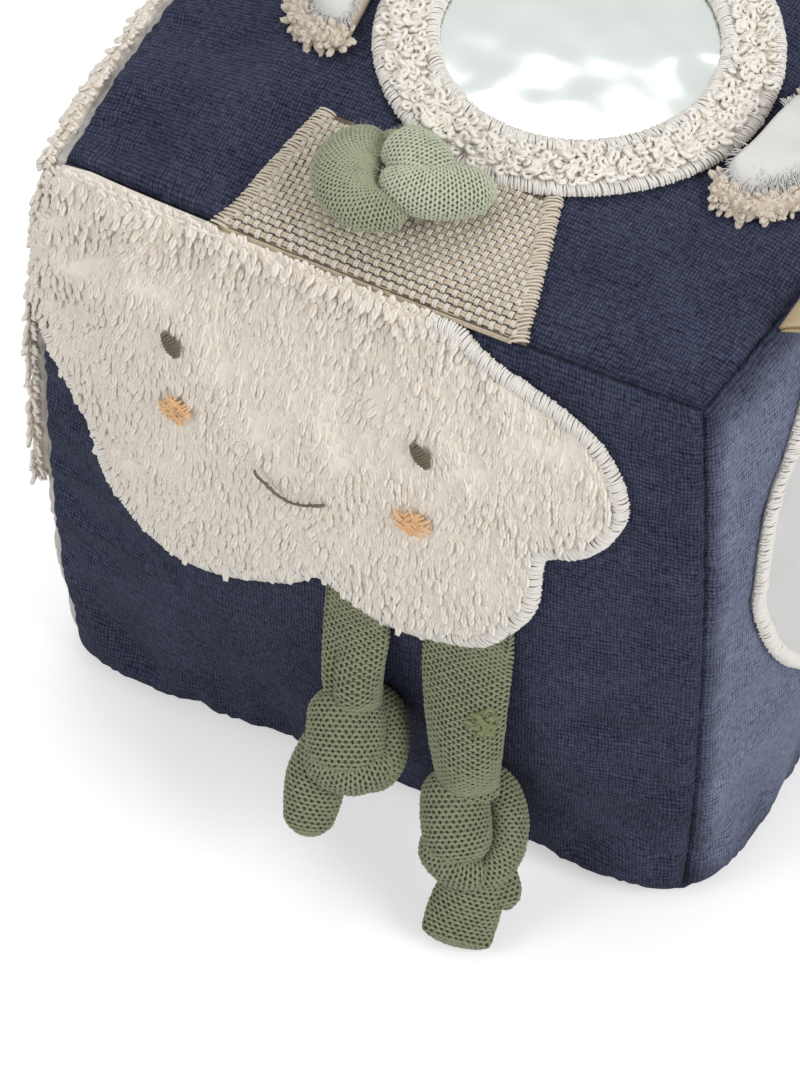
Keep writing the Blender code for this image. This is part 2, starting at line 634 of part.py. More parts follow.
def make_bow():
    across = BOW_ACROSS_SHARE
    back = HEAD_PLACE_SHARES[1] - (HEAD_RADIUS + BOW_STEP_OUT) / SIDE_SCALE
    seat = LAYER_GAP + WOVEN_THICKNESS + LAYER_GAP
    middle = on_top(across, back, seat + BOW_KNOT_RADIUS)
    bm = bmesh.new()
    bmesh.ops.create_uvsphere(bm, u_segments=10, v_segments=6, radius=BOW_KNOT_RADIUS)
    made = add_object("bow_knot", mesh_from(bm, "bow_knot"), KNIT)
    made.location = middle
    for name, lobe in BOW_LOBES.items():
        way = Vector((math.cos(lobe["turn"]), math.sin(lobe["turn"])))
        path = []
        for share, rise in ((0.0, BOW_KNOT_RADIUS), (0.3, BOW_HALF_DEPTH), (0.6, BOW_HALF_DEPTH),
                            (0.85, BOW_HALF_DEPTH), (1.0, BOW_HALF_DEPTH)):
            step = (BOW_KNOT_RADIUS + BALL_GAP + lobe["length"] * share) / SIDE_SCALE
            path.append(on_top(across + way.x * step, back + way.y * step, seat + rise))
        widths = [share * BOW_HALF_WIDTH for share in (0.35, 0.72, 1.0, 0.92, 0.5)]
        depths = [share * BOW_HALF_DEPTH for share in (0.5, 0.9, 0.97, 0.9, 0.45)]
        make_limb(name, path, widths, depths, Vector((-way.y, way.x, 0.0)), KNIT, path[0])


def make_label():
    """The folded tab that sticks out of the seam between the top and right panels."""
    bm = bmesh.new()
    bmesh.ops.create_grid(bm, x_segments=4, y_segments=2, size=1.0)
    seam = on_right(LABEL_PLACE_SHARE, 1.0)
    run_way = Vector((math.cos(LABEL_RISE), 0.0, math.sin(LABEL_RISE)))
    rise_way = Vector((-math.sin(LABEL_RISE), 0.0, math.cos(LABEL_RISE)))
    outer = bmesh.ops.extrude_face_region(bm, geom=bm.faces[:])["geom"]
    upper = {item for item in outer if isinstance(item, bmesh.types.BMVert)}
    for vert in bm.verts:
        share = (vert.co.x + 1.0) / 2.0
        rise = LABEL_THICKNESS / 2.0 if vert in upper else -LABEL_THICKNESS / 2.0
        along = Vector((0.0, vert.co.y * LABEL_WIDTH / 2.0, -LABEL_DROOP * share * share))
        vert.co = run_way * share * LABEL_LENGTH + rise_way * rise + along
    made = add_object("label", mesh_from(bm, "label"), GOLD, 0.4)
    made.location = seam + run_way * LABEL_THICKNESS


def build():
    panels = {
        "front_panel": (lambda a, b: (a, -1.0, b), NAVY),
        "back_panel": (lambda a, b: (-a, 1.0, b), NAVY),
        "right_panel": (lambda a, b: (1.0, a, b), NAVY),
        "left_panel": (lambda a, b: (-1.0, -a, b), CREAM),
        "top_panel": (lambda a, b: (a, b, 1.0), NAVY),
        "bottom_panel": (lambda a, b: (a, -b, -1.0), NAVY),
    }
    for name, (turn, colour) in panels.items():
        make_panel(name, turn, colour)
    make_core()
    make_rattle()

    border_inset = 2.0 * BORDER_RADIUS + LAYER_GAP
    free = CLOUD_FREE_SHARES
    pad_free = inset_points(free, -border_inset, closed=False)
    make_pad("cloud", pad_free + CLOUD_SEWN_SHARES, CLOUD_MIDDLE_SHARES, on_front, TERRY, TERRY_THICKNESS)
    make_border("cloud_border", inset_points(free, -BORDER_RADIUS, closed=False), on_front, BORDER_RADIUS,
                THREAD, closed=False)
    on_cloud = 2.0 * LAYER_GAP + TERRY_THICKNESS
    for name, place in EYE_PLACE_SHARES.items():
        eye = circle_points(place, EYE_HALF_WIDTH, EYE_HALF_HEIGHT, 10, EYE_TURN, UPRIGHT_SCALES)
        make_pad(name, eye, place, on_front, OLIVE, EMBROIDERY_THICKNESS, lift=on_cloud,
                 ring_shares=SMALL_RING_SHARES)
    for name, place in CHEEK_PLACE_SHARES.items():
        cheek = circle_points(place, CHEEK_HALF_WIDTH, CHEEK_HALF_HEIGHT, 12, 0.0, UPRIGHT_SCALES)
        make_pad(name, cheek, place, on_front, PEACH, EMBROIDERY_THICKNESS, lift=on_cloud,
                 ring_shares=SMALL_RING_SHARES)
    make_border("smile", smoothed(smoothed(SMILE_SHARES)), on_front, SMILE_RADIUS, OLIVE, False, on_cloud)

    for side, leg in LEGS.items():
        make_leg(side, leg)

    inner, bead = CIRCLE_RADIUS - border_inset, CIRCLE_RADIUS - BORDER_RADIUS
    pad = circle_points(CIRCLE_PLACE_SHARES, inner, inner, 32, 0.0, UPRIGHT_SCALES)
    make_pad("circle_patch", pad, CIRCLE_PLACE_SHARES, on_right, CREAM, COTTON_THICKNESS, COTTON_CROWN)
    rim = circle_points(CIRCLE_PLACE_SHARES, bead, bead, 44, 0.0, UPRIGHT_SCALES)
    make_border("circle_border", rim, on_right, BORDER_RADIUS, THREAD, closed=True)

    make_animal(border_inset)

    left_free = LEFT_PATCH_SHARES
    make_pad("left_patch", inset_points(left_free, border_inset, closed=False) + LEFT_PATCH_SEWN_SHARES,
             LEFT_PATCH_MIDDLE_SHARES, on_left, TERRY, TERRY_THICKNESS)
    make_border("left_patch_border", inset_points(left_free, BORDER_RADIUS, closed=False), on_left,
                BORDER_RADIUS, THREAD, closed=False)
    make_label()


def make_body():
    """The woven body: a patch that widens towards the front seam and ends at the head's border."""
    head = HEAD_PLACE_SHARES
    clear = (HEAD_RADIUS + LAYER_GAP) / SIDE_SCALE
    border_share = (2.0 * WOVEN_BORDER_RADIUS + LAYER_GAP) / SIDE_SCALE
    corners = [
        (BODY_FRONT_SHARES[0] + border_share, BODY_EDGE_SHARE),
        (BODY_FRONT_SHARES[1] - border_share, BODY_EDGE_SHARE),
        (BODY_REAR_SHARES[1] - border_share, BODY_REAR_UP_SHARE),
        (BODY_REAR_SHARES[0] + border_share, BODY_REAR_UP_SHARE),
    ]
    outline = []
    for index, steps in enumerate((8, 4, 8, 4)):
        start, end = corners[index], corners[(index + 1) % len(corners)]
        for step in range(steps):
            across = start[0] + (end[0] - start[0]) * step / steps
            back = start[1] + (end[1] - start[1]) * step / steps
            beside = max(0.0, clear * clear - (across - head[0]) ** 2)
            outline.append((across, min(back, head[1] - math.sqrt(beside))))
    make_pad("body_patch", outline, BODY_MIDDLE_SHARES, on_top, WOVEN, WOVEN_THICKNESS)
    bead_share = WOVEN_BORDER_RADIUS / SIDE_SCALE
    for name, side, way in (("body_border_left", 0, 1.0), ("body_border_right", 1, -1.0)):
        bead = []
        for step in range(8):
            share = step / 7.0
            across = BODY_FRONT_SHARES[side] + share * (BODY_REAR_SHARES[side] - BODY_FRONT_SHARES[side])
            back = BODY_EDGE_SHARE + share * (BODY_REAR_UP_SHARE - BODY_EDGE_SHARE)
            bead.append((across + way * bead_share, back))
        make_border(name, bead, on_top, WOVEN_BORDER_RADIUS, WOVEN, closed=False, ends=False)


def make_animal(border_inset):
    """The figure on the top: woven body, ring head over a mirror, two ears and a bow."""
    head = HEAD_PLACE_SHARES
    ring_lift = LAYER_GAP + MIRROR_THICKNESS + LAYER_GAP
    outer_bead, inner_bead = HEAD_RADIUS - BORDER_RADIUS, HEAD_HOLE_RADIUS + BORDER_RADIUS
    make_pad("mirror", circle_points(head, MIRROR_RADIUS, MIRROR_RADIUS, 30), head, on_top, SILVER,
             MIRROR_THICKNESS, ring_shares=MIDDLE_RING_SHARES, roughness=0.1)
    make_band("head_ring", head, inner_bead + BORDER_RADIUS + LAYER_GAP, HEAD_RADIUS - border_inset, on_top,
              TERRY, TERRY_THICKNESS, ring_lift)
    make_border("head_outer_border", circle_points(head, outer_bead, outer_bead, 38), on_top, BORDER_RADIUS,
                THREAD, closed=True)
    make_border("head_inner_border", circle_points(head, inner_bead, inner_bead, 30), on_top, BORDER_RADIUS,
                THREAD, closed=True, lift=ring_lift)

    make_body()
    for side, way in (("left", -1.0), ("right", 1.0)):
        make_ear(side, way)
    make_bow()


for old in list(bpy.data.objects):
    bpy.data.objects.remove(old)
parts = bpy.data.collections.new("soft_fabric_block")
cutters = bpy.data.collections.new("cutters")
bpy.context.scene.collection.children.link(parts)
bpy.context.scene.collection.children.link(cutters)
build()
bpy.context.view_layer.update()
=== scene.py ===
"""Looks of a soft fabric block: a stuffed navy muslin cube with a terry cloud, knitted legs and an animal.

Metres, +Z up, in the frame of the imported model. The cloud faces -Y, and the block rests on its -Z face.
"""
import json
import math

import bmesh
import bpy
import numpy as np
from mathutils import Matrix, Vector, noise

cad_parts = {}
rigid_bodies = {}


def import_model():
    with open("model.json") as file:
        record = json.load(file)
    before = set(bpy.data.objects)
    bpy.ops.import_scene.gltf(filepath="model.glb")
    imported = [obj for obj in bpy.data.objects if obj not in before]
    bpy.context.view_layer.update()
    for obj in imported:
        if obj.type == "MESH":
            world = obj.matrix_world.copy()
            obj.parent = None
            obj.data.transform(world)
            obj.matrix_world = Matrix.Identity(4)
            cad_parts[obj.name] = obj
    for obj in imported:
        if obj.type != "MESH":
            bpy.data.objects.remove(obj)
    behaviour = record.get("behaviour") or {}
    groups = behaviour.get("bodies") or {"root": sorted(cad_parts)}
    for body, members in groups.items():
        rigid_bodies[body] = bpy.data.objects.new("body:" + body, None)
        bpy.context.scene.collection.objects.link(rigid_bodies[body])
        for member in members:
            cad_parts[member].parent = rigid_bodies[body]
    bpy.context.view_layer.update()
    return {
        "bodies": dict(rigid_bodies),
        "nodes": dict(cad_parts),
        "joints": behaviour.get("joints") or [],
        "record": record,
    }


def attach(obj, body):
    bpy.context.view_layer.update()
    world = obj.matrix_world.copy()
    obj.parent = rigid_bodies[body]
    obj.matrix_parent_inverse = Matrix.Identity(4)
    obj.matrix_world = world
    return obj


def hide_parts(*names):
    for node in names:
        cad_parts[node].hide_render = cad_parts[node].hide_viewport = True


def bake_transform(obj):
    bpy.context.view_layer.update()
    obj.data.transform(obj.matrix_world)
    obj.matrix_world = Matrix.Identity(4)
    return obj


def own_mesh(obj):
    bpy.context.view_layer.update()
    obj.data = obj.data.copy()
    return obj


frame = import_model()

# The cover.
# Six panels sewn into a cube and stuffed hard: navy double gauze muslin all round, and smooth cream cotton on
# the left. The seams are turned in, so that each edge is a groove between two rolls of cloth.
MM = 0.001
HALF_CORNER = 70.6 * MM
EDGE_BOW = 3.2 * MM
UPRIGHT_BOW = 4.2 * MM
CROWN = 2.8 * MM
SEAM_SHOULDER = 2.6 * MM
SHOULDER_RUN = 5.0 * MM
CENTRE_HEIGHT = 72.0 * MM
TOP_CORNER_RISE = 71.2 * MM
TOP_BOW = 2.2 * MM
TOP_CROWN = 4.0 * MM
SEAM_LIFT = 2.0 * MM
SLUMP = 5.5 * MM
SWELL_POWER = 2.2
FLAT_SHARE = 0.81
SIDE_SCALE = HALF_CORNER + EDGE_BOW
UPRIGHT_SCALES = (HALF_CORNER + UPRIGHT_BOW, TOP_CORNER_RISE + TOP_BOW)
LAYER_GAP = 0.35 * MM
SEAM_DEPTH = 1.5 * MM
SEAM_ROLL = 1.25 * MM
PUCKER_HEIGHT = 0.26 * MM
PUCKER_RUN = 7.0 * MM
PUCKER_PITCH = 4.2 * MM
CLOTH_STEPS = 32
CLOTH_CAP = 2.2 * MM
CLOTH_PRESSURE = 4.0
CLOTH_FRAMES = 20
CLOTH_GROWTH = 0.022
CLOTH_BENDING = 0.4
CLOTH_STIFFNESS = 12.0
PANEL_STEPS = 120
PANEL_THICKNESS = 1.0 * MM
WARP_PITCH = 0.70 * MM
WEFT_PITCH = 0.95 * MM
YARN_WANDER = 1.1 * MM
MUSLIN_RELIEF = 0.30 * MM
LAWN_PITCH = 0.34 * MM
NAVY = (0.034, 0.039, 0.072)
NAVY_DARK = (0.009, 0.010, 0.022)
NAVY_LIGHT = (0.082, 0.092, 0.150)
# A lighter copy of the navy for the lit side, which is painted light, and how far from the seams it takes to
# fade in.
LIT_NAVY = (0.160, 0.180, 0.268)
LIT_NAVY_DARK = (0.060, 0.068, 0.112)
LIT_NAVY_LIGHT = (0.255, 0.282, 0.395)
SEAM_SHADE_RUNS = (7.0 * MM, 16.0 * MM)
COTTON = (0.62, 0.61, 0.595)
COTTON_SHADE = (0.52, 0.50, 0.475)


def swell(share):
    """One in the middle of a side, nothing at its sewn edges."""
    return 1.0 - np.abs(share) ** SWELL_POWER


def shoulder(share):
    """How far the cloth has risen out of the seam, from nothing at the seam to one."""
    return 1.0 - np.exp((np.abs(share) - 1.0) * HALF_CORNER / SHOULDER_RUN)


def side_reach(across, up):
    """How far the cloth of a side stands out from the block's middle, its lower half slumped out."""
    slumped = across ** 2 * (1.0 - across ** 8) * np.maximum(0.0, -up) ** 3
    return (HALF_CORNER + EDGE_BOW * swell(across) + UPRIGHT_BOW * swell(up)
            + CROWN * swell(across) * swell(up) + SEAM_SHOULDER * shoulder(across) * shoulder(up)
            + SLUMP * slumped)


def top_reach(across, back):
    """How far the top stands up from the block's middle."""
    return (TOP_CORNER_RISE + TOP_BOW * (swell(across) + swell(back))
            + TOP_CROWN * swell(across) * swell(back) + SEAM_SHOULDER * shoulder(across) * shoulder(back))


def bottom_reach(across, back):
    """How far the bottom lies below the block's middle: flat, but drawn up at its seams."""
    flat = 1.0
    for share in (across, back):
        flat = flat * (1.0 - (np.maximum(0.0, np.abs(share) - FLAT_SHARE) / (1.0 - FLAT_SHARE)) ** 2)
    return CENTRE_HEIGHT - SEAM_LIFT + SEAM_LIFT * flat


def pillow(cube):
    """Turn points of a cube of half size one into the same points of the stuffed block."""
    size = np.abs(cube).max(axis=1)
    u, v, w = (cube / size[:, None]).T
    rise = np.where(w > 0.0, w * top_reach(u, v), w * bottom_reach(u, v))
    block = np.stack([u * side_reach(v, w), v * side_reach(u, w), rise], axis=1) * size[:, None]
    return block + [0.0, 0.0, CENTRE_HEIGHT]


FACES = {
    "front": lambda a, b: (a, -np.ones_like(a), b),
    "back": lambda a, b: (a, np.ones_like(a), b),
    "right": lambda a, b: (np.ones_like(a), a, b),
    "left": lambda a, b: (-np.ones_like(a), a, b),
    "top": lambda a, b: (a, b, np.ones_like(a)),
    "bottom": lambda a, b: (a, b, -np.ones_like(a)),
}
OUT_WAYS = {
    "front": (0.0, -1.0, 0.0), "back": (0.0, 1.0, 0.0), "right": (1.0, 0.0, 0.0),
    "left": (-1.0, 0.0, 0.0), "top": (0.0, 0.0, 1.0), "bottom": (0.0, 0.0, -1.0),
}


def in_scene(name, data):
    """A new object of this data, linked to the scene."""
    made = bpy.data.objects.new(name, data)
    bpy.context.scene.collection.objects.link(made)
    return made


def simulated_wrinkles():
    """Blow up a copy of the cover as cloth held at its seams, and return how far each grid point moved."""
    bm = bmesh.new()
    bmesh.ops.create_cube(bm, size=2.0)
    bmesh.ops.subdivide_edges(bm, edges=bm.edges, cuts=CLOTH_STEPS - 1, use_grid_fill=True)
    cube = np.array([vert.co for vert in bm.verts], float)
    start = pillow(cube)
    for vert, place in zip(bm.verts, start):
        vert.co = place
    mesh = bpy.data.meshes.new("cover_cloth")
    bm.to_mesh(mesh)
    bm.free()
    cloth = in_scene("cover_cloth", mesh)
    seams = cloth.vertex_groups.new(name="seams")
    on_seam = (np.abs(cube) > 1.0 - 1.0 / CLOTH_STEPS).sum(axis=1) >= 2
    seams.add([int(index) for index in np.nonzero(on_seam)[0]], 1.0, "REPLACE")
    settings = cloth.modifiers.new("cloth", "CLOTH").settings
    settings.vertex_group_mass = "seams"
    settings.use_pressure = True
    settings.uniform_pressure_force = CLOTH_PRESSURE
    settings.effector_weights.gravity = 0.0
    settings.shrink_min = -CLOTH_GROWTH
    settings.bending_stiffness = CLOTH_BENDING
    settings.tension_stiffness = settings.compression_stiffness = CLOTH_STIFFNESS
    scene = bpy.context.scene
    for step in range(1, CLOTH_FRAMES + 1):
        scene.frame_set(step)
    ready = cloth.evaluated_get(bpy.context.evaluated_depsgraph_get())
    end = np.zeros(len(cube) * 3)
    ready.data.vertices.foreach_get("co", end)
    scene.frame_set(1)
    bpy.data.objects.remove(cloth)
    return cube, end.reshape(-1, 3) - start


def wrinkle_grids():
    """The cloth's ups and downs for each face, with its overall growth taken out and its reach capped."""
    steps = CLOTH_STEPS
    grids = {face: np.zeros((steps + 1, steps + 1)) for face in FACES}
    cube, moved = simulated_wrinkles()
    index = np.rint((cube + 1.0) * steps / 2.0).astype(int)
    axes = {"front": (0, 2), "back": (0, 2), "right": (1, 2), "left": (1, 2), "top": (0, 1), "bottom": (0, 1)}
    for face, grid in grids.items():
        out = np.array(OUT_WAYS[face])
        here = cube @ out > 1.0 - 1.0 / steps
        rows, columns = index[here][:, axes[face][0]], index[here][:, axes[face][1]]
        grid[rows, columns] = moved[here] @ out
        lines = np.linspace(-1.0, 1.0, steps + 1)
        bulge = np.outer(1.0 - lines ** 4, 1.0 - lines ** 4)
        grid -= bulge * (grid * bulge).sum() / (bulge * bulge).sum()
        grid[:] = CLOTH_CAP * np.tanh(grid / CLOTH_CAP)
        if face == "bottom":
            grid *= 0.0
    return grids


WRINKLES = wrinkle_grids()


def wrinkle(face, a, b):
    """The height of the simulated wrinkles at places on a face, smoothly between the grid's points."""
    grid = WRINKLES[face]
    last = CLOTH_STEPS
    places, weights = [], []
    for share in (a, b):
        place = np.clip((share + 1.0) * last / 2.0, 0.0, last - 1e-6)
        index = place.astype(int)
        t = place - index
        places.append([np.clip(index + step, 0, last) for step in (-1, 0, 1, 2)])
        weights.append([(-t ** 3 + 2 * t ** 2 - t) / 2, (3 * t ** 3 - 5 * t ** 2 + 2) / 2,
                        (-3 * t ** 3 + 4 * t ** 2 + t) / 2, (t ** 3 - t ** 2) / 2])
    return sum(weights[0][i] * weights[1][j] * grid[places[0][i], places[1][j]]
               for i in range(4) for j in range(4))


def seam_dip(a, b):
    """How deep the cloth rolls into the nearest seam, with the puckers that its stitches pull."""
    dip, puckers = 0.0, 0.0
    for share, along in ((a, b), (b, a)):
        away = (1.0 - np.abs(share)) * SIDE_SCALE
        phase = along * SIDE_SCALE / PUCKER_PITCH
        pucker = np.sin(2.0 * math.pi * (phase + 0.6 * np.sin(phase * 1.7) + 0.4 * np.sin(phase * 0.61)))
        dip = np.maximum(dip, SEAM_DEPTH * np.exp(-(away / SEAM_ROLL) ** 1.4))
        puckers = puckers + PUCKER_HEIGHT * pucker * np.exp(-away / PUCKER_RUN) * (1.0 - np.abs(along) ** 6)
    return dip - puckers


def block_points(face, a, b, rolled=True):
    """Points of the cover at shares across and up a face."""
    a, b = np.asarray(a, float), np.asarray(b, float)
    cube = np.stack(FACES[face](a, b), axis=1)
    dip = seam_dip(a, b) if rolled else 0.0
    height = wrinkle(face, a, b) - (dip if face != "bottom" else np.maximum(dip, 0.0))
    if face == "bottom":
        height = np.where(np.maximum(np.abs(a), np.abs(b)) < FLAT_SHARE, 0.0, height)
    return pillow(cube * (1.0 + height / SIDE_SCALE)[:, None])


def unit(vectors):
    """The same directions, each one long."""
    return vectors / np.linalg.norm(vectors, axis=-1, keepdims=True)


def block_normals(face, a, b):
    """Directions straight out of the cover, from its overall shape without seams or wrinkles."""
    a, b = np.asarray(a, float), np.asarray(b, float)
    step = 0.01
    inner_a, inner_b = np.clip(a, -0.97, 0.97), np.clip(b, -0.97, 0.97)

    def at(x, y):
        return pillow(np.stack(FACES[face](x, y), axis=1))

    across = at(inner_a + step, inner_b) - at(inner_a - step, inner_b)
    up = at(inner_a, inner_b + step) - at(inner_a, inner_b - step)
    normals = unit(np.cross(across, up))
    return normals * np.sign(normals @ np.array(OUT_WAYS[face]))[:, None]


def on_block(face, a, b, lift=0.0):
    """Points a given way straight out of the cover, at shares across and up a face."""
    return block_points(face, a, b, rolled=False) + block_normals(face, a, b) * np.reshape(lift, (-1, 1))


class Amount:
    """A number that changes over a surface. Sums written with it add the Math nodes that work them out."""

    def __init__(self, tree, socket):
        self.tree = tree
        self.socket = socket

    def by(self, operation, *others):
        made = self.tree.node("ShaderNodeMath", {"operation": operation}, dict(enumerate((self,) + others)))
        return Amount(self.tree, made.outputs[0])

    def __add__(self, other):
        return self.by("ADD", other)

    __radd__ = __add__

    def __sub__(self, other):
        return self.by("SUBTRACT", other)

    def __rsub__(self, other):
        return self.by("MULTIPLY", -1.0) + other

    def __mul__(self, other):
        return self.by("MULTIPLY", other)

    __rmul__ = __mul__

    def __abs__(self):
        return self.by("ABSOLUTE")

    def sine(self):
        return self.by("SINE")

    def clamped(self):
        return self.by("MAXIMUM", 0.0).by("MINIMUM", 1.0)


class Tree:
    """A node tree that is built by one method."""

    def __init__(self, nodes_of):
        self.tree = nodes_of

    def node(self, kind, settings=(), inputs=()):
        """A new node with these settings, its inputs set to numbers or linked to other nodes."""
        made = self.tree.nodes.new(kind)
        for key, value in dict(settings).items():
            if key == "stops":
                while len(made.color_ramp.elements) < len(value):
                    made.color_ramp.elements.new(1.0)
                for stop, (place, colour) in zip(made.color_ramp.elements, value):
                    stop.position = place
                    stop.color = (*colour, 1.0)
            else:
                setattr(made, key, value)
        for key, value in dict(inputs).items():
            value = value.socket if isinstance(value, Amount) else value
            if isinstance(value, bpy.types.NodeSocket):
                self.tree.links.new(value, made.inputs[key])
            else:
                made.inputs[key].default_value = value
        return made


class Finish(Tree):
    """One material, built up from patterns into a single shader."""

    def __init__(self, name):
        self.material = bpy.data.materials.new(name)
        self.material.use_nodes = True
        super().__init__(self.material.node_tree)
        self.tree.nodes.clear()

    def place(self, source="Object"):
        return self.node("ShaderNodeTexCoord").outputs[source]

    def parts(self, vector):
        split = self.node("ShaderNodeSeparateXYZ", inputs={0: vector})
        return [Amount(self, socket) for socket in split.outputs]

    def noise(self, vector, scale, detail=2.0, roughness=0.5):
        made = self.node("ShaderNodeTexNoise", inputs={"Vector": vector, "Scale": scale, "Detail": detail,
                                                      "Roughness": roughness})
        return Amount(self, made.outputs["Fac"])

    def tone(self, share, *stops):
        """A colour between stops."""
        return self.node("ShaderNodeValToRGB", {"stops": stops}, {"Fac": share}).outputs["Color"]

    def mixed(self, share, first, second):
        """The second colour over the first one, by a share."""
        made = self.node("ShaderNodeMix", {"data_type": "RGBA"}, {"Factor": share, 6: first, 7: second})
        return made.outputs[2]

    def shade(self, colour, height=None, distance=0.2 * MM, strength=1.0, **sockets):
        """Join the colour and the surface's fine relief into the shader."""
        values = {"Base Color": colour, "Roughness": 0.9, "Specular IOR Level": 0.2}
        values.update({key.replace("_", " "): value for key, value in sockets.items()})
        if height is not None:
            values["Normal"] = self.node("ShaderNodeBump", inputs={
                "Height": height, "Distance": distance, "Strength": strength}).outputs["Normal"]
        shader = self.node("ShaderNodeBsdfPrincipled", inputs=values)
        self.node("ShaderNodeOutputMaterial", inputs={"Surface": shader.outputs[0]})
        return self.material


def weave(finish, warp_pitch, weft_pitch, vector):
    """Plain weave at real size: dark pinholes between yarns, and yarns that go over and under."""
    across, along, _ = finish.parts(vector)
    warp = (across * (math.pi / warp_pitch)).sine()
    weft = (along * (math.pi / weft_pitch)).sine()
    return warp * weft, abs(warp) * abs(weft)


def muslin_finish(name, napped=False):
    """Navy double gauze: a loose weave of uneven yarns, faintly crinkled, with painted light on the lit side.
    """
    finish = Finish(name)
    cloth = finish.place("UV")
    warped = finish.node("ShaderNodeVectorMath", {"operation": "ADD"}, {
        0: cloth,
        1: finish.node("ShaderNodeVectorMath", {"operation": "SCALE"}, {
            0: finish.node("ShaderNodeTexNoise", inputs={"Vector": cloth, "Scale": 260.0}).outputs["Color"],
            "Scale": YARN_WANDER}).outputs[0]}).outputs[0]
    over, solid = weave(finish, WARP_PITCH, WEFT_PITCH, warped)
    warp_slub, weft_slub = [finish.noise(finish.node("ShaderNodeMapping", inputs={
        "Vector": warped, "Scale": scale}).outputs[0], 1.0, 2.0, 0.6)
        for scale in ((1400.0, 420.0, 1.0), (380.0, 1250.0, 1.0))]
    fuzz = finish.noise(cloth, 1100.0, 2.0, 0.6)
    patch = finish.noise(cloth, 60.0, 3.0, 0.6)
    crinkle = finish.noise(finish.node("ShaderNodeMapping", inputs={
        "Vector": cloth, "Rotation": (0.0, 0.0, 0.6), "Scale": (1.0, 2.6, 1.0)}).outputs[0], 150.0, 3.0, 0.55)
    uneven = warp_slub + weft_slub - 1.0
    light = (solid * 0.50 + uneven * 0.75 + fuzz * 0.60 + (patch - 0.5) * 0.5 - 0.04).clamped()
    colour = finish.tone(light, (0.10, NAVY_DARK), (0.45, NAVY), (0.95, NAVY_LIGHT))
    # The lit side: a lighter copy of the navy painted on as light. It is strongest on the crinkles and fades
    # out towards the seams, which keep the darker navy as painted shade.
    if napped:
        across, up, _ = finish.parts(cloth)
        clear = [((SIDE_SCALE - abs(way)) * (1.0 / run)).clamped()
                 for way, run in zip((across, up), SEAM_SHADE_RUNS)]
        painted_light = (clear[0] * clear[1] * (crinkle * 1.9 + patch * 0.6 + 0.12)).clamped()
        colour = finish.mixed(painted_light, colour, finish.tone(
            light, (0.10, LIT_NAVY_DARK), (0.45, LIT_NAVY), (0.95, LIT_NAVY_LIGHT)))
    height = solid * 0.5 + over * 0.25 + uneven * 0.6 + crinkle * (2.2 if napped else 1.5)
    return finish.shade(colour, height, MUSLIN_RELIEF, 0.9, Specular_IOR_Level=0.1, Sheen_Weight=0.03,
                        Sheen_Roughness=0.6)


def cotton_finish():
    """Smooth cream cotton lawn with a very fine weave."""
    finish = Finish("cream_cotton")
    cloth = finish.place("UV")
    over, solid = weave(finish, LAWN_PITCH, LAWN_PITCH, cloth)
    crinkle = finish.noise(cloth, 130.0, 3.0, 0.5)
    light = solid * 0.3 + crinkle * 0.5 + 0.25 + over * 0.05
    colour = finish.tone(light.clamped(), (0.0, COTTON_SHADE), (1.0, COTTON))
    return finish.shade(colour, crinkle * 1.4 + solid * 0.15, 0.3 * MM, 0.6)


def graded(share):
    """Crowd evenly spaced grid lines towards a panel's seams."""
    return 0.45 * share + 0.55 * np.sin(share * math.pi / 2.0)


def mesh_object(name, points, faces, material, uvs=None):
    """A mesh piece from points and faces worked out above it, with its pattern's real-size coordinates."""
    mesh = bpy.data.meshes.new(name)
    mesh.from_pydata([tuple(p) for p in points], [], [tuple(f) for f in faces])
    if uvs is not None:
        layer = mesh.uv_layers.new(name="cloth")
        corners = np.zeros(len(mesh.loops), int)
        mesh.loops.foreach_get("vertex_index", corners)
        layer.data.foreach_set("uv", np.asarray(uvs, float)[corners].ravel())
    mesh.shade_smooth()
    mesh.materials.append(material)
    return in_scene(name, mesh)


def grid_faces(columns, rows):
    """The faces of a sheet whose points run row by row down each column."""
    corner = np.arange(columns * rows).reshape(columns, rows)
    corners = [corner[:-1, :-1], corner[1:, :-1], corner[1:, 1:], corner[:-1, 1:]]
    return np.stack(corners, axis=-1).reshape(-1, 4)


def outwards(points, faces, centre):
    """Turn a sheet's faces round where they look towards the block's middle."""
    a, b, c = (points[faces[:, k]] for k in range(3))
    looks = np.einsum("ij,ij->i", np.cross(b - a, c - a), a - centre)
    return faces[:, ::-1] if np.sum(looks) < 0.0 else faces


def thicken(piece, thickness, offset=-1.0):
    """Give a sheet its wall, as plain mesh."""
    wall = piece.modifiers.new("wall", "SOLIDIFY")
    wall.thickness = thickness
    wall.offset = offset
    return as_plain_mesh(piece)


def as_plain_mesh(piece):
    """Replace a piece's mesh by what its modifiers make of it."""
    ready = piece.evaluated_get(bpy.context.evaluated_depsgraph_get())
    mesh = bpy.data.meshes.new_from_object(ready)
    piece.modifiers.clear()
    old = piece.data
    piece.data = mesh
    mesh.name = piece.name
    bpy.data.meshes.remove(old)
    return piece


BLOCK_CENTRE = np.array([0.0, 0.0, CENTRE_HEIGHT])
muslin = muslin_finish("navy_muslin")
# The right side is the same navy cloth, with painted light on it.
side_muslin = muslin_finish("side_muslin", napped=True)
cotton = cotton_finish()
for face in FACES:
    lines = graded(np.linspace(-1.0, 1.0, PANEL_STEPS + 1))
    grid_a, grid_b = [g.ravel() for g in np.meshgrid(lines, lines, indexing="ij")]
    points = block_points(face, grid_a, grid_b)
    faces = outwards(points, grid_faces(len(lines), len(lines)), BLOCK_CENTRE)
    cloth_uv = np.stack([grid_a, grid_b], axis=1) * SIDE_SCALE
    finish = {"left": cotton, "right": side_muslin}.get(face, muslin)
    panel = mesh_object(face + "_cloth", points, faces, finish, cloth_uv)
    thicken(panel, PANEL_THICKNESS)
    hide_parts(face + "_panel")
    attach(panel, "root")

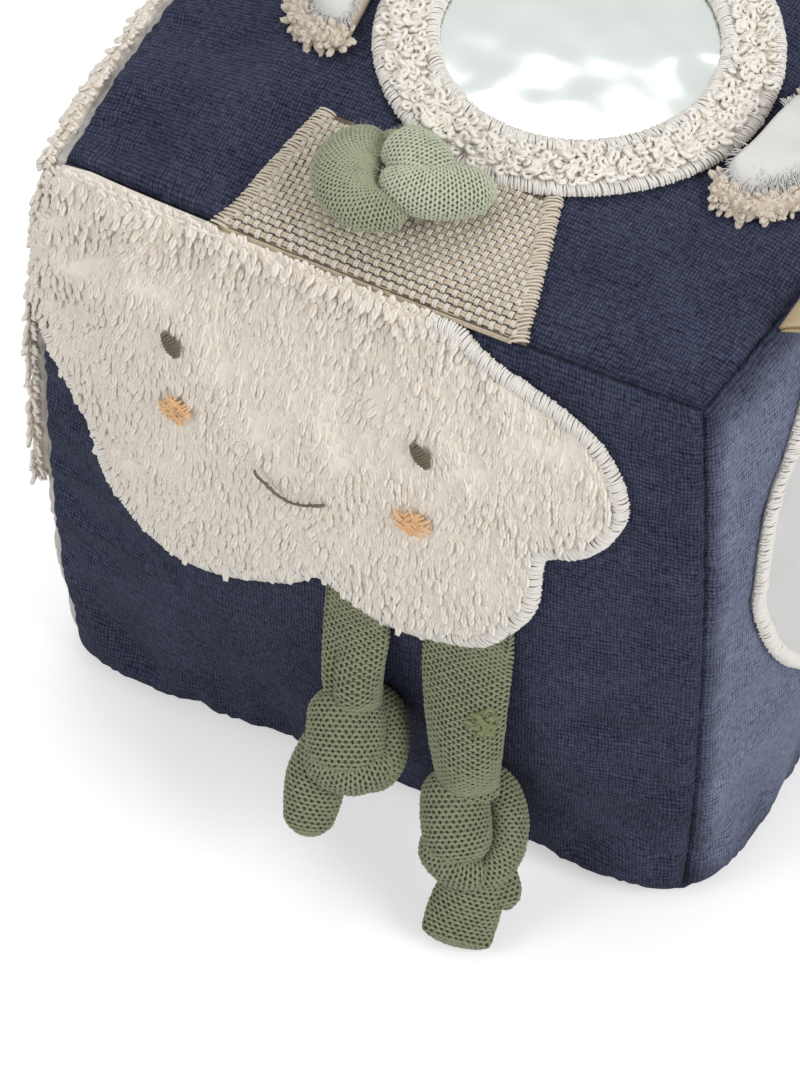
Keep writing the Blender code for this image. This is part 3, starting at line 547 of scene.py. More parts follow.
# The cloud.
# A terry cloud sewn over the upper left of the front, caught in the top and left seams. Its pile is loops of
# off-white yarn that hang down over one another, and its free edge is oversewn with satin stitch.
CLOUD_FREE_SHARES = [
    (0.300, 0.997), (0.355, 0.965), (0.425, 0.942), (0.511, 0.916), (0.621, 0.884), (0.710, 0.840),
    (0.765, 0.776), (0.802, 0.690), (0.806, 0.598), (0.777, 0.521), (0.727, 0.452), (0.666, 0.401),
    (0.610, 0.390), (0.578, 0.372), (0.572, 0.300), (0.571, 0.229), (0.550, 0.150), (0.487, 0.049),
    (0.411, -0.037), (0.301, -0.062), (0.211, -0.082), (0.122, -0.074), (0.045, -0.048), (-0.015, -0.006),
    (-0.066, 0.012), (-0.124, -0.056), (-0.186, -0.089), (-0.307, -0.148), (-0.402, -0.178),
    (-0.498, -0.184), (-0.593, -0.152), (-0.688, -0.089), (-0.768, 0.004), (-0.832, 0.121),
    (-0.876, 0.249), (-0.925, 0.330), (-0.968, 0.395),
]
CLOUD_SEWN_SHARES = [
    (-0.990, 0.52), (-0.990, 0.66), (-0.990, 0.80), (-0.990, 0.91), (-0.975, 0.985), (-0.90, 0.997),
    (-0.75, 0.997), (-0.58, 0.997), (-0.40, 0.997), (-0.22, 0.997), (-0.04, 0.997), (0.10, 0.997),
    (0.20, 0.997),
]
CLOUD_MIDDLE_SHARES = (-0.10, 0.40)
BORDER_START_SHARES = [(0.205, 0.984), (0.245, 0.981)]
RUNNING_SHARES = [(-0.93, 0.986), (-0.46, 0.986)]
RUNNING_PITCH = 2.7 * MM
RUNNING_LENGTH = 2.2 * MM
RUNNING_HEIGHT = 0.6 * MM
RUNNING_THREAD = 0.42 * MM
TERRY_GROUND = 1.6 * MM
BORDER_WIDTH = 3.3 * MM
BORDER_HEIGHT = 1.3 * MM
BORDER_LIFT = 1.1 * MM
ROLL_DROP = 0.25 * MM
SATIN_PITCH = 0.46 * MM
SATIN_THREAD = 0.27 * MM
SATIN_SLANT = math.radians(14.0)
SHOWN_BORDER_SHARE = 0.30
LOOP_COLUMN = 1.36 * MM
LOOP_ROW = 1.90 * MM
LOOP_WIDTH = 1.50 * MM
LOOP_LENGTH = 3.4 * MM
LOOP_YARN = 0.41 * MM
LOOP_STEPS = 7
SEAM_ROLL_RADIUS = 1.2 * MM
LOOP_LEAN = 0.17
LOOP_LIFT = 0.20 * MM
SEAM_FOLD_SHARE = 0.988
SEAM_FOLD_DEPTH = 0.3 * MM
SEAM_LOOP_SHARES = (0.985, 0.962)
SEAM_LOOP_PITCH = 0.9 * MM
SEAM_LOOP_LENGTH = 2.3 * MM
SEAM_LOOP_STEP = 1.4 * MM
OUTLINE_STEP = 1.1 * MM
RUN_STEP = 0.004
GROUND_RINGS = 44
# The terry's colours. The root colour is painted shade, down in the pile and on the ground between the loops.
TERRY_SHADE_DEPTH = 1.6 * MM
TERRY_TIP = (0.93, 0.88, 0.81)
TERRY_MID = (0.92, 0.86, 0.78)
TERRY_ROOT_SHADE = (0.89, 0.81, 0.70)
THREAD_COLOUR = (0.84, 0.81, 0.76)
THREAD_SHADE = (0.76, 0.70, 0.61)


def smoothed(points):
    """Cut the corners of a line of points."""
    points = np.asarray(points, float)
    after = np.roll(points, -1, axis=0)
    cut = np.stack([points * 0.75 + after * 0.25, points * 0.25 + after * 0.75], axis=1)
    cut = cut.reshape(-1, points.shape[1])
    return np.vstack([points[:1], cut[:-2], points[-1:]])


def resampled(points, step, closed=False, scale=SIDE_SCALE):
    """Points an even real distance apart along a line of shares."""
    points = np.asarray(points, float)
    line = np.vstack([points, points[:1]]) if closed else points
    along = np.concatenate([[0.0], np.cumsum(np.linalg.norm(np.diff(line, axis=0), axis=1))]) * scale
    count = max(2, int(round(along[-1] / step)))
    places = np.linspace(0.0, along[-1], count + 1)
    places = places[:-1] if closed else places
    return np.stack([np.interp(places, along, line[:, k]) for k in range(line.shape[1])], axis=1)


def signed_area(points):
    """The area inside a closed line of points, positive where it runs round to the left."""
    after = np.roll(points, -1, axis=0)
    return np.sum(points[:, 0] * after[:, 1] - after[:, 0] * points[:, 1]) / 2.0


def run_ways(points, closed=False):
    """Unit directions along a line of points."""
    if closed:
        run = np.roll(points, -1, axis=0) - np.roll(points, 1, axis=0)
    else:
        run = np.gradient(points, axis=0)
    return unit(run)


def inset(points, distance, inward):
    """Shift a line of shares sideways by a real distance: inward is 1 where its left is its inside."""
    run = run_ways(points)
    return points + np.stack([-run[:, 1], run[:, 0]], axis=1) * inward * distance / SIDE_SCALE


def inside(points, outline):
    """Which points lie inside an outline."""
    x, y = points[:, 0, None], points[:, 1, None]
    start, end = outline, np.roll(outline, -1, axis=0)
    spans = (start[None, :, 1] > y) != (end[None, :, 1] > y)
    rise = np.where(end[:, 1] == start[:, 1], 1e-9, end[:, 1] - start[:, 1])
    cross = start[None, :, 0] + (y - start[None, :, 1]) * (end[:, 0] - start[:, 0])[None] / rise[None]
    return (spans & (x < cross)).sum(axis=1) % 2 == 1


def sewn_pad(name, face, outline, middle, profile, material, rough=0.0):
    """A closed pad on the block: rings from its middle out to its outline, round its edge and back below."""
    count = len(outline)
    middle = np.asarray(middle, float)
    rings = [middle + (outline - middle) * share for share, _ in profile[1:-1]]
    shares = np.vstack([middle[None]] + rings + [middle[None]])
    lifts = np.concatenate([[profile[0][1]], np.repeat([lift for _, lift in profile[1:-1]], count),
                            [profile[-1][1]]])
    if rough:
        swells = np.array([noise.noise(Vector((a * 9.0, b * 9.0, 3.0))) for a, b in shares])
        lifts = lifts + rough * swells * (lifts > lifts.max() * 0.6)
    points = on_block(face, shares[:, 0], shares[:, 1], lifts)
    here = np.arange(count)
    after = np.roll(here, -1)
    faces = [(0, 1 + i, 1 + j) for i, j in zip(here, after)]
    for ring in range(len(rings) - 1):
        low = 1 + ring * count
        faces += [(low + i, low + count + i, low + count + j, low + j) for i, j in zip(here, after)]
    last = len(shares) - 1
    faces += [(last, last - count + j, last - count + i) for i, j in zip(here, after)]
    out = np.array(OUT_WAYS[face])
    first = np.cross(points[1] - points[0], points[1 + count // 4] - points[0]) @ out
    if first < 0.0:
        faces = [f[::-1] for f in faces]
    return mesh_object(name, points, faces, material, shares * SIDE_SCALE)


def dome(top, edge, low=0.0, crown=0.0, steps=14):
    """A pad's profile: flat or crowned over the top, round at the edge."""
    flat = [(share, top + crown * (1.0 - share ** 2)) for share in np.linspace(0.0, 1.0 - edge, steps)]
    bend = [(1.0 - edge + edge * math.sin(turn), low + (top + crown * edge - low) * math.cos(turn) ** 0.7)
            for turn in np.linspace(0.25, 1.35, 5)]
    return flat + bend + [(1.0, low), (0.7, low), (0.3, low), (0.0, low)]


class Recipe(Tree):
    """A Geometry Nodes tree with named sizes, that sets one small thing on every point of a mesh."""

    def __init__(self, name):
        super().__init__(bpy.data.node_groups.new(name, "GeometryNodeTree"))
        self.tree.interface.new_socket("Geometry", in_out="INPUT", socket_type="NodeSocketGeometry")
        self.tree.interface.new_socket("Geometry", in_out="OUTPUT", socket_type="NodeSocketGeometry")
        self.given = self.node("NodeGroupInput")
        self.sizes = {}

    def size(self, name, value, kind="NodeSocketFloat"):
        """A named input, as an amount that sums can use."""
        made = self.tree.interface.new_socket(name, in_out="INPUT", socket_type=kind)
        if kind != "NodeSocketMaterial":
            made.default_value = value
        self.sizes[name] = (made.identifier, value)
        return Amount(self, self.given.outputs[name])

    def vector(self, x=0.0, y=0.0, z=0.0):
        return self.node("ShaderNodeCombineXYZ", inputs={0: x, 1: y, 2: z}).outputs[0]

    def attribute(self, name):
        return self.node("GeometryNodeInputNamedAttribute", {"data_type": "FLOAT_VECTOR"},
                         {"Name": name}).outputs[0]

    def circle(self, sides, radius):
        """A closed ring curve."""
        return self.node("GeometryNodeCurvePrimitiveCircle", inputs={
            "Resolution": sides, "Radius": radius}).outputs[0]

    def thread(self, curve, radius):
        """A thread along a curve."""
        return self.node("GeometryNodeCurveToMesh", inputs={
            "Curve": curve, "Profile Curve": self.circle(4, radius), "Fill Caps": True}).outputs[0]

    def bow(self, start, lift, end, steps):
        """A curve from one point to another, arched by a vector."""
        handles = [self.node("ShaderNodeVectorMath", {"operation": "ADD"}, {0: lift, 1: point}).outputs[0]
                   for point in (start, end)]
        return self.node("GeometryNodeCurvePrimitiveBezierSegment", {"mode": "POSITION"}, {
            "Resolution": steps, "Start": start, "Start Handle": handles[0], "End Handle": handles[1],
            "End": end}).outputs[0]

    def set_out(self, thing):
        """Set the thing on every point, its Z out of the cloth and its Y along the point's own way."""
        turn = self.size("Ragged Angle", 0.15)
        spread = self.size("Size Spread", 0.1)
        seed = self.size("Seed", 1, "NodeSocketInt")
        finish = self.size("Finish", None, "NodeSocketMaterial")
        place = self.node("GeometryNodeInputPosition").outputs[0]
        kept = self.node("GeometryNodeStoreNamedAttribute", {"data_type": "FLOAT_VECTOR", "domain": "POINT"},
                         {"Geometry": thing, "Name": "yarn_place", "Value": place}).outputs[0]
        frame = self.node("FunctionNodeAxesToRotation", {"primary_axis": "Z", "secondary_axis": "Y"}, {
            0: self.attribute("out"), 1: self.attribute("along")}).outputs[0]
        less = turn * -1.0
        angle = self.node("FunctionNodeRandomValue", {"data_type": "FLOAT_VECTOR"}, {
            0: self.vector(less, less, less), 1: self.vector(turn, turn, turn), "Seed": seed}).outputs[0]
        turned = self.node("FunctionNodeRotateRotation", {"rotation_space": "LOCAL"}, {
            0: frame, 1: self.node("FunctionNodeEulerToRotation", inputs={0: angle}).outputs[0]}).outputs[0]
        chance = self.node("FunctionNodeRandomValue", {"data_type": "FLOAT"}, {
            2: 1.0 - spread, 3: 1.0 + spread, "Seed": seed}).outputs[1]
        scale = self.node("ShaderNodeVectorMath", {"operation": "SCALE"}, {
            0: self.attribute("size"), "Scale": chance}).outputs[0]
        placed = self.node("GeometryNodeInstanceOnPoints", inputs={
            "Points": self.given.outputs[0], "Instance": kept, "Rotation": turned, "Scale": scale}).outputs[0]
        tint = self.node("FunctionNodeRandomValue", {"data_type": "FLOAT"}, {"Seed": seed}).outputs[1]
        tinted = self.node("GeometryNodeStoreNamedAttribute", {"data_type": "FLOAT", "domain": "INSTANCE"},
                           {"Geometry": placed, "Name": "tint", "Value": tint}).outputs[0]
        real = self.node("GeometryNodeRealizeInstances", inputs={0: tinted}).outputs[0]
        smooth = self.node("GeometryNodeSetShadeSmooth", inputs={0: real}).outputs[0]
        done = self.node("GeometryNodeSetMaterial", inputs={"Geometry": smooth, "Material": finish.socket})
        self.node("NodeGroupOutput", inputs={0: done.outputs[0]})
        return self

    def made_at(self, name, places, out, along, finish, size=1.0, **sizes):
        """One plain mesh with this tree's small thing on every place."""
        mesh = bpy.data.meshes.new(name)
        mesh.from_pydata([tuple(p) for p in places], [], [])
        sized = np.broadcast_to(np.asarray(size, float).reshape(-1, 1 if np.ndim(size) < 2 else 3),
                                (len(places), 3))
        for key, values in (("out", out), ("along", along), ("size", sized)):
            layer = mesh.attributes.new(key, "FLOAT_VECTOR", "POINT")
            layer.data.foreach_set("vector", np.broadcast_to(values, (len(places), 3)).astype(float).ravel())
        made = in_scene(name, mesh)
        grow = made.modifiers.new("made", "NODES")
        grow.node_group = self.tree
        for key, (identifier, value) in self.sizes.items():
            grow[identifier] = finish if key == "Finish" else sizes.get(key.replace(" ", "_").lower(), value)
        return as_plain_mesh(made)


def loop_recipe():
    """A terry loop: a ring of yarn that hangs down from its point, its lower end standing off the cloth."""
    recipe = Recipe("terry_loop")
    width = recipe.size("Loop Width", LOOP_WIDTH)
    length = recipe.size("Loop Length", LOOP_LENGTH)
    yarn = recipe.size("Yarn Radius", LOOP_YARN)
    lean = recipe.size("Lean", LOOP_LEAN)
    steps = recipe.size("Loop Steps", LOOP_STEPS, "NodeSocketInt")
    oval = recipe.node("GeometryNodeTransform", inputs={
        "Geometry": recipe.circle(steps, 0.5), "Translation": recipe.vector(0.0, length * -0.5, 0.0),
        "Scale": recipe.vector(width - yarn * 2.0, length - yarn * 2.0, 1.0)}).outputs[0]
    leaned = recipe.node("GeometryNodeTransform", inputs={
        "Geometry": recipe.thread(oval, yarn), "Rotation": recipe.vector(lean * -1.0)}).outputs[0]
    return recipe.set_out(leaned)


def satin_recipe():
    """A stitch of thread laid across a border, arched over the edge that it covers."""
    recipe = Recipe("satin_stitch")
    width = recipe.size("Stitch Width", BORDER_WIDTH)
    height = recipe.size("Stitch Height", BORDER_HEIGHT)
    thread = recipe.size("Thread Radius", SATIN_THREAD)
    arch = recipe.bow(recipe.vector(width * -0.5), recipe.vector(0.0, 0.0, height * 1.33),
                      recipe.vector(width * 0.5), 6)
    return recipe.set_out(recipe.thread(arch, thread))


def yarn_finish(name, tip, middle, root, depth, spread=0.12, sheen=0.3):
    """Soft spun yarn: painted darker down in the pile as shade, a little uneven from yarn to yarn, and hairy.
    """
    finish = Finish(name)
    local = finish.node("ShaderNodeAttribute", {"attribute_name": "yarn_place"}).outputs["Vector"]
    tint = Amount(finish, finish.node("ShaderNodeAttribute", {"attribute_name": "tint"}).outputs["Fac"])
    x, y, z = finish.parts(local)
    fuzz = finish.noise(finish.place(), 1400.0, 2.0, 0.6)
    # Painted shade: the colour runs from the tip colour down to the root colour with height in the loop.
    share = z * (1.0 / depth) + fuzz * 0.22 - 0.08 + (tint - 0.5) * spread
    colour = finish.tone(share.clamped(), (0.0, root), (0.45, middle), (1.0, tip))
    twist = ((x + y) * 5200.0 + z * 3000.0).sine()
    return finish.shade(colour, fuzz + twist * 0.25, 0.12 * MM, 0.7, Sheen_Weight=sheen, Roughness=0.95)


def thread_finish(name, colour, shade):
    """Shiny filament thread, seen as fine parallel strands."""
    finish = Finish(name)
    tint = Amount(finish, finish.node("ShaderNodeAttribute", {"attribute_name": "tint"}).outputs["Fac"])
    strand = finish.noise(finish.place(), 2600.0, 2.0, 0.5)
    tone = finish.tone((tint * 0.5 + strand * 0.7).clamped(), (0.0, shade), (0.45, colour), (1.0, colour))
    return finish.shade(tone, strand, 0.08 * MM, 0.5, Roughness=0.5, Specular_IOR_Level=0.4)


terry_loop = loop_recipe()
satin_stitch = satin_recipe()
terry_yarn = yarn_finish("terry", TERRY_TIP, TERRY_MID, TERRY_ROOT_SHADE, TERRY_SHADE_DEPTH)
satin_thread = thread_finish("satin_thread", THREAD_COLOUR, THREAD_SHADE)


def ground_finish(name, colour, shade):
    """The close ground cloth that shows between loops or stitches."""
    finish = Finish(name)
    fuzz = finish.noise(finish.place(), 1200.0, 3.0, 0.6)
    return finish.shade(finish.tone(fuzz, (0.2, shade), (0.8, colour)), fuzz, 0.2 * MM, 0.8)


# The ground between the loops, and the rolled seam under them, painted in the loops' darker tones as shade.
terry_ground = ground_finish("terry_ground", TERRY_MID, TERRY_ROOT_SHADE)


def put(piece, body, slot, *nodes):
    """Fix a piece to its body, and hide the nodes that it covers; its slot is not used."""
    if nodes:
        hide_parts(*nodes)
    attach(piece, body)
    return piece


def frames_on(face, shares, run, lift):
    """Places over a face with the way out of it and a way along it, for things set on its surface."""
    a, b = shares[:, 0], shares[:, 1]
    places = on_block(face, a, b, lift)
    way = on_block(face, a + run[:, 0] * RUN_STEP, b + run[:, 1] * RUN_STEP, lift) - places
    return places, block_normals(face, a, b), unit(way)


# The bead under the satin stitches, painted darker than the thread as shade between the stitches.
satin_core = ground_finish("satin_core", THREAD_COLOUR, THREAD_SHADE)


def satin_border(name, face, line, closed=False, slot="satin_thread", lift=BORDER_LIFT, finish=satin_thread,
                 core=satin_core, ragged=0.15, width=BORDER_WIDTH, pitch=SATIN_PITCH, height=BORDER_HEIGHT):
    """A border of satin stitches laid side by side along a line on the block, over a rolled edge."""
    line = resampled(line, pitch, closed)
    run = run_ways(line, closed)
    places, out, along = frames_on(face, line, run, lift)
    along = along * math.cos(SATIN_SLANT) + np.cross(out, along) * math.sin(SATIN_SLANT)
    stitches = satin_stitch.made_at(name + "_stitches", places, out, along, finish, ragged_angle=ragged,
                                    size_spread=0.06, stitch_width=width, stitch_height=height, seed=7)
    put(stitches, "root", slot, name)
    # The rolled edge under the stitches takes the core finish, whose darker colour is painted shade between
    # the threads.
    roll = bead(name + "_roll", face, resampled(line, 3.0 * pitch, closed), lift - ROLL_DROP,
                width / 2.0 - SATIN_THREAD, height * 0.8, core, closed, sides=8)
    put(roll, "root", slot)


def tube_mesh(name, rims, closed, material):
    """A closed tube through rings of points, with its ends capped."""
    count, sides = rims.shape[:2]
    points = rims.reshape(-1, 3)
    faces = []
    for ring in range(count if closed else count - 1):
        low, high = ring * sides, (ring + 1) % count * sides
        faces += [(low + k, low + (k + 1) % sides, high + (k + 1) % sides, high + k) for k in range(sides)]
    if not closed:
        faces += [tuple(range(sides))[::-1], tuple(range((count - 1) * sides, count * sides))]
    bm = bmesh.new()
    verts = [bm.verts.new(p) for p in points]
    for f in faces:
        bm.faces.new([verts[k] for k in f])
    bmesh.ops.recalc_face_normals(bm, faces=bm.faces)
    mesh = bpy.data.meshes.new(name)
    bm.to_mesh(mesh)
    bm.free()
    mesh.shade_smooth()
    mesh.materials.append(material)
    return in_scene(name, mesh)


def bead(name, face, line, lift, half_width, half_height, material, closed=False, sides=10):
    """An oval bead of cloth along a line on the block."""
    places, out, along = frames_on(face, line, run_ways(line, closed), lift)
    turns = np.arange(sides) / sides * 2.0 * math.pi
    rims = places[:, None] + (np.cross(along, out)[:, None] * np.cos(turns)[None, :, None] * half_width
                              + out[:, None] * np.sin(turns)[None, :, None] * half_height)
    return tube_mesh(name, rims, closed, material)


def terry_points(outline, keep_out, seed):
    """Places for loops in columns that run down the cloth, inside an outline and clear of what is sewn on."""
    chance = np.random.default_rng(seed)
    low, high = outline.min(axis=0), outline.max(axis=0)
    column, row = LOOP_COLUMN / SIDE_SCALE, LOOP_ROW / SIDE_SCALE
    columns = np.arange(low[0], high[0], column)
    a, b = np.meshgrid(columns, np.arange(low[1], high[1], row), indexing="ij")
    b = b + (np.arange(len(columns)) % 2)[:, None] * 0.5 * row
    shares = np.stack([a.ravel(), b.ravel()], axis=1)
    shares += chance.uniform(-0.25, 0.25, shares.shape) * [column, row]
    shares = shares[inside(shares, outline)]
    for middle, half_width, half_height in keep_out:
        away = (shares - middle) / [half_width / SIDE_SCALE, half_height / SIDE_SCALE]
        shares = shares[(away ** 2).sum(axis=1) > 1.0]
    bend = np.array([noise.noise(Vector((x * 5.0, y * 5.0, seed))) for x, y in shares]) * 0.5
    return shares, np.stack([-np.sin(bend), np.cos(bend)], axis=1)


def terry_patch(name, face, free, sewn, middle, shown, seed, keep_out=(), start=None, steps=LOOP_STEPS - 1,
                draped=0.0):
    """Terry cloth: a ground pad, its pile of loops, loops that lie over the seams, and a stitched edge."""
    outline, inward = closed_outline(free, sewn, BORDER_WIDTH * 0.75)
    pad = sewn_pad(name + "_ground", face, outline, middle,
                   dome(TERRY_GROUND + LAYER_GAP, 0.03, steps=GROUND_RINGS), terry_ground)
    put(pad, "root", "terry", name)
    shares, run = terry_points(pile_outline(free, sewn, inward, shown), keep_out, seed)
    places, out, along = frames_on(face, shares, run, TERRY_GROUND + LOOP_LIFT)
    loops = terry_loop.made_at(name + "_loops", places, out, along, terry_yarn, ragged_angle=0.20,
                               size_spread=0.18, loop_steps=steps, seed=seed)
    put(loops, "root", "terry")
    chance = np.random.default_rng(seed + 1)
    fold = resampled(sewn, 2.0 * SEAM_LOOP_PITCH) * SEAM_FOLD_SHARE
    put(bead(name + "_seam_fold", face, fold, -SEAM_FOLD_DEPTH, SEAM_ROLL_RADIUS, SEAM_ROLL_RADIUS,
             terry_ground), "root", "terry")
    caught = resampled(sewn, SEAM_LOOP_PITCH)
    caught = np.vstack([caught * share for share in SEAM_LOOP_SHARES])
    caught += chance.uniform(-0.5, 0.5, caught.shape) * SEAM_LOOP_PITCH / SIDE_SCALE
    outward = unit(caught - np.asarray(middle)) + chance.uniform(-0.5, 0.5, caught.shape)
    places, out, along = frames_on(face, np.clip(caught, -0.996, 0.996), -unit(outward),
                                   TERRY_GROUND + LOOP_LIFT)
    if draped:
        over = np.repeat((draped, 0.0), len(caught) // 2)[:, None]
        places = places - (along + out * 0.3) * SEAM_LOOP_STEP * (over > 0.0)
        out, along = unit(out - along * over), unit(along + out * over)
    short = terry_loop.made_at(name + "_seam_loops", places, out, along, terry_yarn, ragged_angle=0.35,
                               size_spread=0.2, loop_length=SEAM_LOOP_LENGTH, lean=0.1, loop_steps=steps,
                               seed=seed + 2)
    put(short, "root", "terry")
    edge = inset(smoothed(smoothed(free)), BORDER_WIDTH / 2.0, inward)
    satin_border(name + "_border", face, edge if start is None else np.vstack([start, edge]))


def closed_outline(free, sewn, distance):
    """A patch's whole outline, its free edge drawn in by a real distance."""
    free = smoothed(smoothed(free))
    inward = np.sign(signed_area(np.vstack([free, sewn])))
    return resampled(np.vstack([inset(free, distance, inward), sewn]), OUTLINE_STEP, closed=True), inward


def pile_outline(free, sewn, inward, shown):
    """Where the pile's roots end: inside the border where that shows, over it elsewhere, and at the seams."""
    free = smoothed(smoothed(free))
    faces = run_ways(free)[:, :1] * inward
    faces_down = np.maximum(0.0, faces) + np.minimum(0.0, faces) * 0.3
    in_sight = shown(free)[:, None]
    drawn_in = np.where(in_sight, 0.80, 0.25) * BORDER_WIDTH
    drawn_in = drawn_in + faces_down * np.where(in_sight, 0.85, 0.60) * LOOP_LENGTH
    sewn = np.array(sewn)
    largest = np.abs(sewn).max(axis=1, keepdims=True)
    at_seam = np.where(np.abs(sewn) == largest, np.sign(sewn) * 0.999, sewn)
    return resampled(np.vstack([inset(free, drawn_in, inward), at_seam]), OUTLINE_STEP, closed=True)


EYES = {"left_eye": (-0.527, 0.627), "right_eye": (0.227, 0.598)}
CHEEKS = {"left_cheek": (-0.491, 0.412), "right_cheek": (0.217, 0.369)}
SMILE_SHARES = [(-0.226, 0.328), (-0.170, 0.290), (-0.110, 0.280), (-0.041, 0.315)]
EYE_HALF_WIDTH = 1.5 * MM
EYE_HALF_HEIGHT = 2.8 * MM
EYE_TURN = math.radians(40.0)
CHEEK_HALF_WIDTH = 4.2 * MM
CHEEK_HALF_HEIGHT = 3.05 * MM
FACE_LIFT = 3.1 * MM

sewn_on = [(place, EYE_HALF_WIDTH * 1.2, EYE_HALF_HEIGHT * 1.1) for place in EYES.values()]
sewn_on += [(place, CHEEK_HALF_WIDTH * 0.9, CHEEK_HALF_HEIGHT * 0.9) for place in CHEEKS.values()]
terry_patch("cloud", "front", CLOUD_FREE_SHARES, CLOUD_SEWN_SHARES, CLOUD_MIDDLE_SHARES,
            lambda shares: shares[:, 0] > SHOWN_BORDER_SHARE, 3, keep_out=sewn_on, start=BORDER_START_SHARES)
run = resampled(RUNNING_SHARES, RUNNING_PITCH)
places, out, along = frames_on("front", run, np.tile((0.0, 1.0), (len(run), 1)), TERRY_GROUND)
running = satin_stitch.made_at("cloud_running_stitches", places, out, along, satin_thread, ragged_angle=0.2,
                               size_spread=0.2, stitch_width=RUNNING_LENGTH, stitch_height=RUNNING_HEIGHT,
                               thread_radius=RUNNING_THREAD, seed=8)
put(running, "root", "satin_thread")

# The face.
# Two small olive eyes and two peach cheeks worked in thread on the terry, and a smile in small back stitches.
OLIVE = (0.155, 0.125, 0.085)
OLIVE_SHADE = (0.06, 0.045, 0.03)
PEACH = (0.85, 0.54, 0.29)
PEACH_SHADE = (0.66, 0.36, 0.16)
EYE_ROWS = 9
EYE_STITCH_HEIGHT = 0.8 * MM
EYE_THREAD = 0.42 * MM
CHEEK_THREADS = 62
CHEEK_LIFT = FACE_LIFT + 0.2 * MM
CHEEK_STITCH = 2.1 * MM
CHEEK_STITCH_HEIGHT = 0.5 * MM
CHEEK_THREAD = 0.24 * MM
SMILE_PITCH = 1.5 * MM
SMILE_LIFT = FACE_LIFT + 0.7 * MM
SMILE_STITCH = 1.9 * MM
SMILE_STITCH_HEIGHT = 0.35 * MM
SMILE_THREAD = 0.38 * MM


def worked_oval(name, middle, half_width, half_height, turn, finish, slot, node):
    """An oval of satin stitches, each as wide as the oval is there."""
    rows = (np.arange(EYE_ROWS) + 0.5) / EYE_ROWS * 2.0 - 1.0
    up_way = np.array([-math.sin(turn), math.cos(turn)])
    shares = np.asarray(middle) + rows[:, None] * up_way * half_height / UPRIGHT_SCALES[1]
    places, out, along = frames_on("front", shares, np.tile(up_way, (EYE_ROWS, 1)), FACE_LIFT)
    wide = np.sqrt(1.0 - rows ** 2) * 2.0 * half_width / BORDER_WIDTH
    size = np.stack([wide, np.full(EYE_ROWS, 1.0), np.full(EYE_ROWS, 0.9)], axis=1)
    oval = satin_stitch.made_at(name + "_stitches", places, out, along, finish, size=size, ragged_angle=0.12,
                                size_spread=0.05, stitch_height=EYE_STITCH_HEIGHT, thread_radius=EYE_THREAD,
                                seed=11)
    return put(oval, "root", slot, node)


olive_thread = thread_finish("olive_thread", OLIVE, OLIVE_SHADE)
peach_thread = thread_finish("peach_thread", PEACH, PEACH_SHADE)
for name, place in EYES.items():
    worked_oval(name, place, EYE_HALF_WIDTH, EYE_HALF_HEIGHT, EYE_TURN, olive_thread, "olive_thread", name)
for number, (name, place) in enumerate(CHEEKS.items()):
    chance = np.random.default_rng(20 + number)
    turns = chance.uniform(0.0, 2.0 * math.pi, CHEEK_THREADS)
    reach = np.sqrt(chance.uniform(0.0, 1.0, CHEEK_THREADS)) * 0.82
    shares = np.asarray(place) + np.stack([
        np.cos(turns) * reach * CHEEK_HALF_WIDTH / UPRIGHT_SCALES[0],
        np.sin(turns) * reach * CHEEK_HALF_HEIGHT / UPRIGHT_SCALES[1]], axis=1)
    leans = np.where(np.arange(CHEEK_THREADS) % 2 == 0, 0.5, -0.7) + chance.uniform(-0.3, 0.3, CHEEK_THREADS)
    run = np.stack([np.sin(leans), np.cos(leans)], axis=1)
    places, out, along = frames_on("front", shares, run, CHEEK_LIFT)
    threads = satin_stitch.made_at(name + "_stitches", places, out, along, peach_thread, ragged_angle=0.2,
                                   size_spread=0.25, stitch_width=CHEEK_STITCH,
                                   stitch_height=CHEEK_STITCH_HEIGHT, thread_radius=CHEEK_THREAD, seed=12)
    put(threads, "root", "peach_thread", name)
smile_line = resampled(smoothed(smoothed(SMILE_SHARES)), SMILE_PITCH, scale=UPRIGHT_SCALES[0])
smile_run = run_ways(smile_line)
smile_across = np.stack([-smile_run[:, 1], smile_run[:, 0]], axis=1)
places, out, along = frames_on("front", smile_line, smile_across, SMILE_LIFT)
smile = satin_stitch.made_at("smile_stitches", places, out, along, olive_thread, ragged_angle=0.12,
                             size_spread=0.1, stitch_width=SMILE_STITCH, stitch_height=SMILE_STITCH_HEIGHT,
                             thread_radius=SMILE_THREAD, seed=13)
put(smile, "root", "olive_thread", "smile")

# The legs.
# Two tubes of green purl knit that hang from under the cloud's hem, each tied in a knot above a soft foot.
# The knit is short bumps of yarn, each row or column half a stitch off the last, with dark gaps between them,
# whose ground is painted darker as shade.
KNIT_STITCH = 1.30 * MM
KNIT_ROW = 1.02 * MM
KNIT_COLUMN = 1.18 * MM
KNIT_COLUMN_ROW = 1.36 * MM
KNIT_YARN = 0.36 * MM
KNIT_BEND = 0.80 * MM
KNIT_RISE = 0.36 * MM
KNIT_DEPTH = 0.34 * MM
# The knit's colours. The root colour is painted shade, deep among the bumps and on the ground below them.
KNIT_TIP = (0.290, 0.306, 0.196)
KNIT_MID = (0.245, 0.259, 0.160)
KNIT_ROOT_SHADE = (0.150, 0.162, 0.098)
KNIT_SHADE_DEPTH = 0.75 * MM
GROOVE_FADE = 30.0
LONG_TURNS = 8
LENGTH_STEPS = 200
GIRTH_STEPS = 49
TUBE_SIDES = 56
TUBE_RINGS = 60
SEEN_TURN = math.radians(28.6)
SEEN_RISE = math.radians(47.8)
SEEN_RIGHT = np.array([math.cos(SEEN_TURN), math.sin(SEEN_TURN), 0.0])
SEEN_BACK = np.array([math.sin(SEEN_TURN) * math.cos(SEEN_RISE), -math.cos(SEEN_TURN) * math.cos(SEEN_RISE),
                      math.sin(SEEN_RISE)])
SEEN_UP = np.cross(SEEN_BACK, SEEN_RIGHT)
LEG_CLEARANCE = 0.4 * MM


